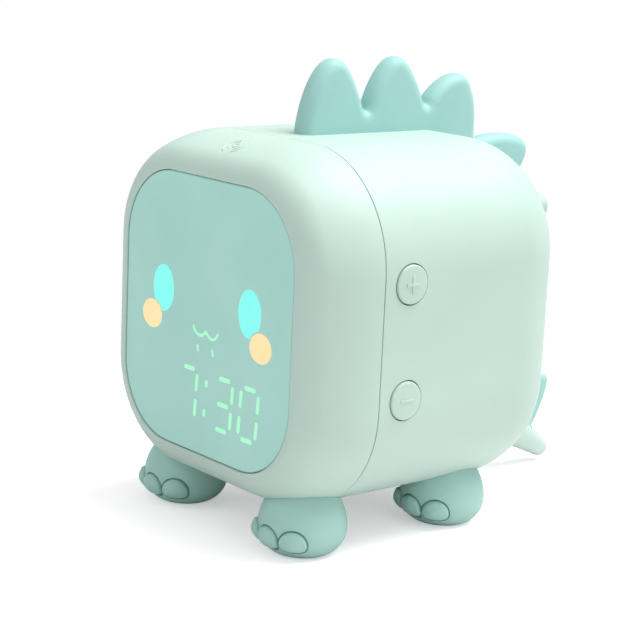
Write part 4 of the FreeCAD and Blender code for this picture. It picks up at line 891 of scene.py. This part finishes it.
digitShape = {
    "top": -15.2, "tall": 14.6, "wide": 7.7, "pitch": 11.6, "colonGap": 16.6, "last": 21.7, "length": 5.1,
    "stroke": 1.35, "slant": 4.0,
}
litStrokes = {
    "seven": ("top", "upperRight", "lowerRight"),
    "three": ("top", "middle", "bottom", "upperRight", "lowerRight"),
    "zero": ("top", "bottom", "upperRight", "lowerRight", "upperLeft", "lowerLeft"),
}


def makeDigit(name, topX):
    shape = digitShape
    lean = math.tan(math.radians(shape["slant"]))
    run = (shape["length"] - shape["stroke"]) / 2
    levels = {"top": 0.0, "middle": 0.5, "bottom": 1.0}
    for stroke in litStrokes[name]:
        if stroke in levels:
            drop = shape["tall"] * levels[stroke]
            x = topX - lean * drop
            z = shape["top"] - drop
            outline = pill(x - run, z, x + run, z, shape["stroke"])
        else:
            drop = shape["tall"] * (0.25 if stroke.startswith("upper") else 0.75)
            side = 0.5 if stroke.endswith("Right") else -0.5
            x = topX - lean * drop + side * shape["wide"]
            z = shape["top"] - drop
            outline = pill(x - lean * run, z - run, x + lean * run, z + run, shape["stroke"])
        litPiece("digit_%s_%s" % (name, stroke), outline, "green_light")


makeDigit("zero", digitShape["last"])
makeDigit("three", digitShape["last"] - digitShape["pitch"])
makeDigit("seven", digitShape["last"] - digitShape["pitch"] - digitShape["colonGap"])


# The colon between the figures and the two dots under the mouth, as short strokes
dots = {
    "colon": {"at": ((1.65, -18.1), (1.0, -26.6)), "start": (-0.05, -0.5), "end": (0.05, 0.5), "wide": 1.3},
    "dot": {"at": ((-2.95, -8.8), (4.0, -8.9)), "start": (-0.1, 0.55), "end": (0.25, -0.55), "wide": 1.0},
}
for name, dot in dots.items():
    (startX, startZ), (endX, endZ) = dot["start"], dot["end"]
    for index, (x, z) in enumerate(dot["at"]):
        outline = pill(x + startX, z + startZ, x + endX, z + endZ, dot["wide"])
        litPiece("%s_%d" % (name, index + 1), outline, "green_light")


mouth = {
    "knots": [
        (-5.3, -2.6), (-4.7, -3.9), (-3.3, -4.8), (-1.7, -5.0), (-0.3, -4.4), (0.6, -3.7),
        (1.8, -4.5), (3.4, -5.2), (5.0, -4.7), (5.9, -3.8), (6.4, -2.9),
    ],
    "wide": 0.86, "steps": 6, "endShare": 0.5, "taper": 0.14,
}


# A smooth line through knots, with this many steps from each to the next
def smoothLine(knots, steps):
    line = []
    for index in range(len(knots) - 1):
        before = knots[max(index - 1, 0)]
        after = knots[min(index + 2, len(knots) - 1)]
        for step in range(steps):
            t = step / steps
            spot = []
            for p0, p1, p2, p3 in zip(before, knots[index], knots[index + 1], after):
                run = 2 * p1 + (p2 - p0) * t
                bend = (2 * p0 - 5 * p1 + 4 * p2 - p3) * t * t
                twist = (3 * p1 - p0 - 3 * p2 + p3) * t ** 3
                spot.append(0.5 * (run + bend + twist))
            line.append(tuple(spot))
    line.append(knots[-1])
    return line


# The mouth: two small arches side by side as one line that thins at its ends
def makeMouth():
    line = smoothLine(mouth["knots"], mouth["steps"])
    left = []
    right = []
    for index, (x, z) in enumerate(line):
        ax, az = line[max(index - 1, 0)]
        bx, bz = line[min(index + 1, len(line) - 1)]
        fromEnd = min(index, len(line) - 1 - index)
        half = mouth["wide"] / 2 * min(1.0, mouth["endShare"] + mouth["taper"] * fromEnd)
        run = math.hypot(bx - ax, bz - az)
        outX, outZ = -(bz - az) / run * half, (bx - ax) / run * half
        left.append((x + outX, z + outZ))
        right.append((x - outX, z - outZ))
    points = left + list(reversed(right))
    depths = (panelFace + figure["sunk"], panelFace - figure["proud"])
    solid = [(x, depth, z) for depth in depths for x, z in points]
    total = len(points)
    faces = []
    for index in range(len(line) - 1):
        a, b, c, d = index, index + 1, total - 2 - index, total - 1 - index
        faces.append((a, b, c, d))
        faces.append((total + d, total + c, total + b, total + a))
    faces += [(step, (step + 1) % total, total + (step + 1) % total, total + step) for step in range(total)]
    makePiece("mouth_line", solid, faces, "green_light")


makeMouth()
print("lit figures")

# Touch mark on the top: a raised hoop with two ripples on either side, plain and generic
touchMark = {"x": 0.6, "y": -38.6, "wire": 0.2, "dot": 0.9, "ripples": (2.3, 3.7), "span": 62.0}


# A place on the top of the body
def topSpot(x, y):
    return (x, y, halfZ - insetAt(y))


# A fine raised line through places on the top
def raisedLine(name, spots, wire):
    data = bpy.data.curves.new(name, "CURVE")
    data.dimensions = "3D"
    spline = data.splines.new("POLY")
    spline.points.add(len(spots) - 1)
    for point, spot in zip(spline.points, spots):
        point.co = (*spot, 1.0)
    data.bevel_depth = wire
    data.bevel_resolution = 3
    data.use_fill_caps = True
    drawn = looseObject(name + "_drawn", data)
    mesh = appliedMesh(drawn)
    bpy.data.objects.remove(drawn)
    for vert in mesh.vertices:
        vert.co = bodyMid + vert.co * mm
    finishPiece(name, mesh, "shell_plastic", sharpAngle=60.0)


def makeTouchMark():
    mark = touchMark
    for index, reach in enumerate(mark["ripples"]):
        for side, sideName in ((1, "right"), (-1, "left")):
            spots = []
            for step in range(17):
                turn = math.radians(-mark["span"] + 2 * mark["span"] * step / 16)
                x = mark["x"] + side * reach * math.cos(turn)
                spots.append(topSpot(x, mark["y"] + reach * math.sin(turn)))
            raisedLine("touch_ripple_%s_%d" % (sideName, index + 1), spots, mark["wire"])
    spots = []
    for step in range(25):
        turn = 2 * math.pi * step / 24
        x = mark["x"] + mark["dot"] * math.cos(turn)
        spots.append(topSpot(x, mark["y"] + mark["dot"] * math.sin(turn)))
    raisedLine("touch_dot", spots, mark["wire"])


makeTouchMark()
print("touch mark")


stage = {"reach": 3.0, "paper": (0.9, 0.86, 0.87, 1.0), "glow": 0.4, "near": 0.085, "far": 0.22}
lights = {
    "world": 0.57,
    "top": {"at": (0.25, 0.4, 1.1), "size": 0.9, "power": 18.0},
    "front": {"at": (-0.5, -1.1, 0.75), "size": 0.9, "power": 2.6},
    "side": {"at": (1.2, -0.1, 0.5), "size": 0.8, "power": 2.2},
}


# White paper: shaded near the object, where the shadows fall, and plain white further out
def makeFloor():
    mesh = bpy.data.meshes.new("floor")
    reach = stage["reach"]
    corners = [(-reach, -reach, 0), (reach, -reach, 0), (reach, reach, 0), (-reach, reach, 0)]
    mesh.from_pydata(corners, [], [(0, 1, 2, 3)])
    floor = looseObject("floor", mesh)
    material, nodes, links, shader = newMaterial("floorPaper")
    shader.inputs["Base Color"].default_value = stage["paper"]
    shader.inputs["Roughness"].default_value = 0.9
    shader.inputs["Specular IOR Level"].default_value = 0.0
    lightPath = nodes.new("ShaderNodeLightPath")
    glow = nodes.new("ShaderNodeEmission")
    glow.inputs["Strength"].default_value = stage["glow"]
    hidden = nodes.new("ShaderNodeEmission")
    hidden.inputs["Strength"].default_value = 0.0
    choose = nodes.new("ShaderNodeMixShader")
    links.new(lightPath.outputs["Is Camera Ray"], choose.inputs["Fac"])
    links.new(hidden.outputs["Emission"], choose.inputs[1])
    links.new(glow.outputs["Emission"], choose.inputs[2])
    both = nodes.new("ShaderNodeAddShader")
    links.new(shader.outputs["BSDF"], both.inputs[0])
    links.new(choose.outputs["Shader"], both.inputs[1])
    coords = nodes.new("ShaderNodeTexCoord")
    distance = nodes.new("ShaderNodeVectorMath")
    distance.operation = "LENGTH"
    links.new(coords.outputs["Object"], distance.inputs[0])
    fade = nodes.new("ShaderNodeMapRange")
    fade.interpolation_type = "SMOOTHSTEP"
    fade.inputs["From Min"].default_value = stage["near"]
    fade.inputs["From Max"].default_value = stage["far"]
    links.new(distance.outputs["Value"], fade.inputs["Value"])
    white = nodes.new("ShaderNodeEmission")
    blend = nodes.new("ShaderNodeMixShader")
    links.new(fade.outputs["Result"], blend.inputs["Fac"])
    links.new(both.outputs["Shader"], blend.inputs[1])
    links.new(white.outputs["Emission"], blend.inputs[2])
    links.new(blend.outputs["Shader"], nodes["Material Output"].inputs["Surface"])
    mesh.materials.append(material)


# White surroundings: one strength for the light they give, plain white where they are seen
def makeSurroundings():
    world = bpy.data.worlds.new("studio")
    bpy.context.scene.world = world
    world.use_nodes = True
    nodes = world.node_tree.nodes
    links = world.node_tree.links
    sky = nodes["Background"]
    sky.inputs["Color"].default_value = (1.0, 1.0, 1.0, 1.0)
    sky.inputs["Strength"].default_value = lights["world"]
    seen = nodes.new("ShaderNodeBackground")
    seen.inputs["Color"].default_value = (1.0, 1.0, 1.0, 1.0)
    seen.inputs["Strength"].default_value = 1.0
    path = nodes.new("ShaderNodeLightPath")
    mixed = nodes.new("ShaderNodeMixShader")
    links.new(path.outputs["Is Camera Ray"], mixed.inputs["Fac"])
    links.new(sky.outputs["Background"], mixed.inputs[1])
    links.new(seen.outputs["Background"], mixed.inputs[2])
    links.new(mixed.outputs["Shader"], nodes["World Output"].inputs["Surface"])


# A round soft light that faces the middle of the body
def softLight(name):
    spec = lights[name]
    data = bpy.data.lights.new(name + "Light", "AREA")
    data.shape = "DISK"
    data.size = spec["size"]
    data.energy = spec["power"]
    lamp = looseObject(name + "Light", data)
    lamp.location = spec["at"]
    aim = bodyMid - Vector(spec["at"])
    lamp.rotation_euler = aim.to_track_quat("-Z", "Y").to_euler()


makeFloor()
makeSurroundings()
for name in ("top", "front", "side"):
    softLight(name)

# The photograph's view: turns in degrees, the camera's place in millimetres from the middle of the body,
# and its lens
view = {"azimuth": 50.25, "elevation": 12.28, "roll": 2.64, "place": (399.7, -338.1, 108.6), "lens": 102.97}


def makeCamera():
    azimuth = math.radians(view["azimuth"])
    elevation = math.radians(view["elevation"])
    roll = math.radians(view["roll"])
    flat = math.cos(elevation)
    back = Vector((math.sin(azimuth) * flat, -math.cos(azimuth) * flat, math.sin(elevation)))
    right = Vector((math.cos(azimuth), math.sin(azimuth), 0.0))
    up = back.cross(right)
    across = right * math.cos(roll) + up * math.sin(roll)
    upright = -right * math.sin(roll) + up * math.cos(roll)
    data = bpy.data.cameras.new("photoCamera")
    data.sensor_width = 36.0
    data.lens = view["lens"]
    camera = looseObject("photoCamera", data)
    place = bodyMid + Vector(view["place"]) * mm
    turn = Matrix((across, upright, back)).transposed().to_4x4()
    camera.matrix_world = Matrix.Translation(place) @ turn
    bpy.context.scene.camera = camera


makeCamera()
bpy.context.scene.view_settings.view_transform = "Standard"
print("stage, lights and camera")
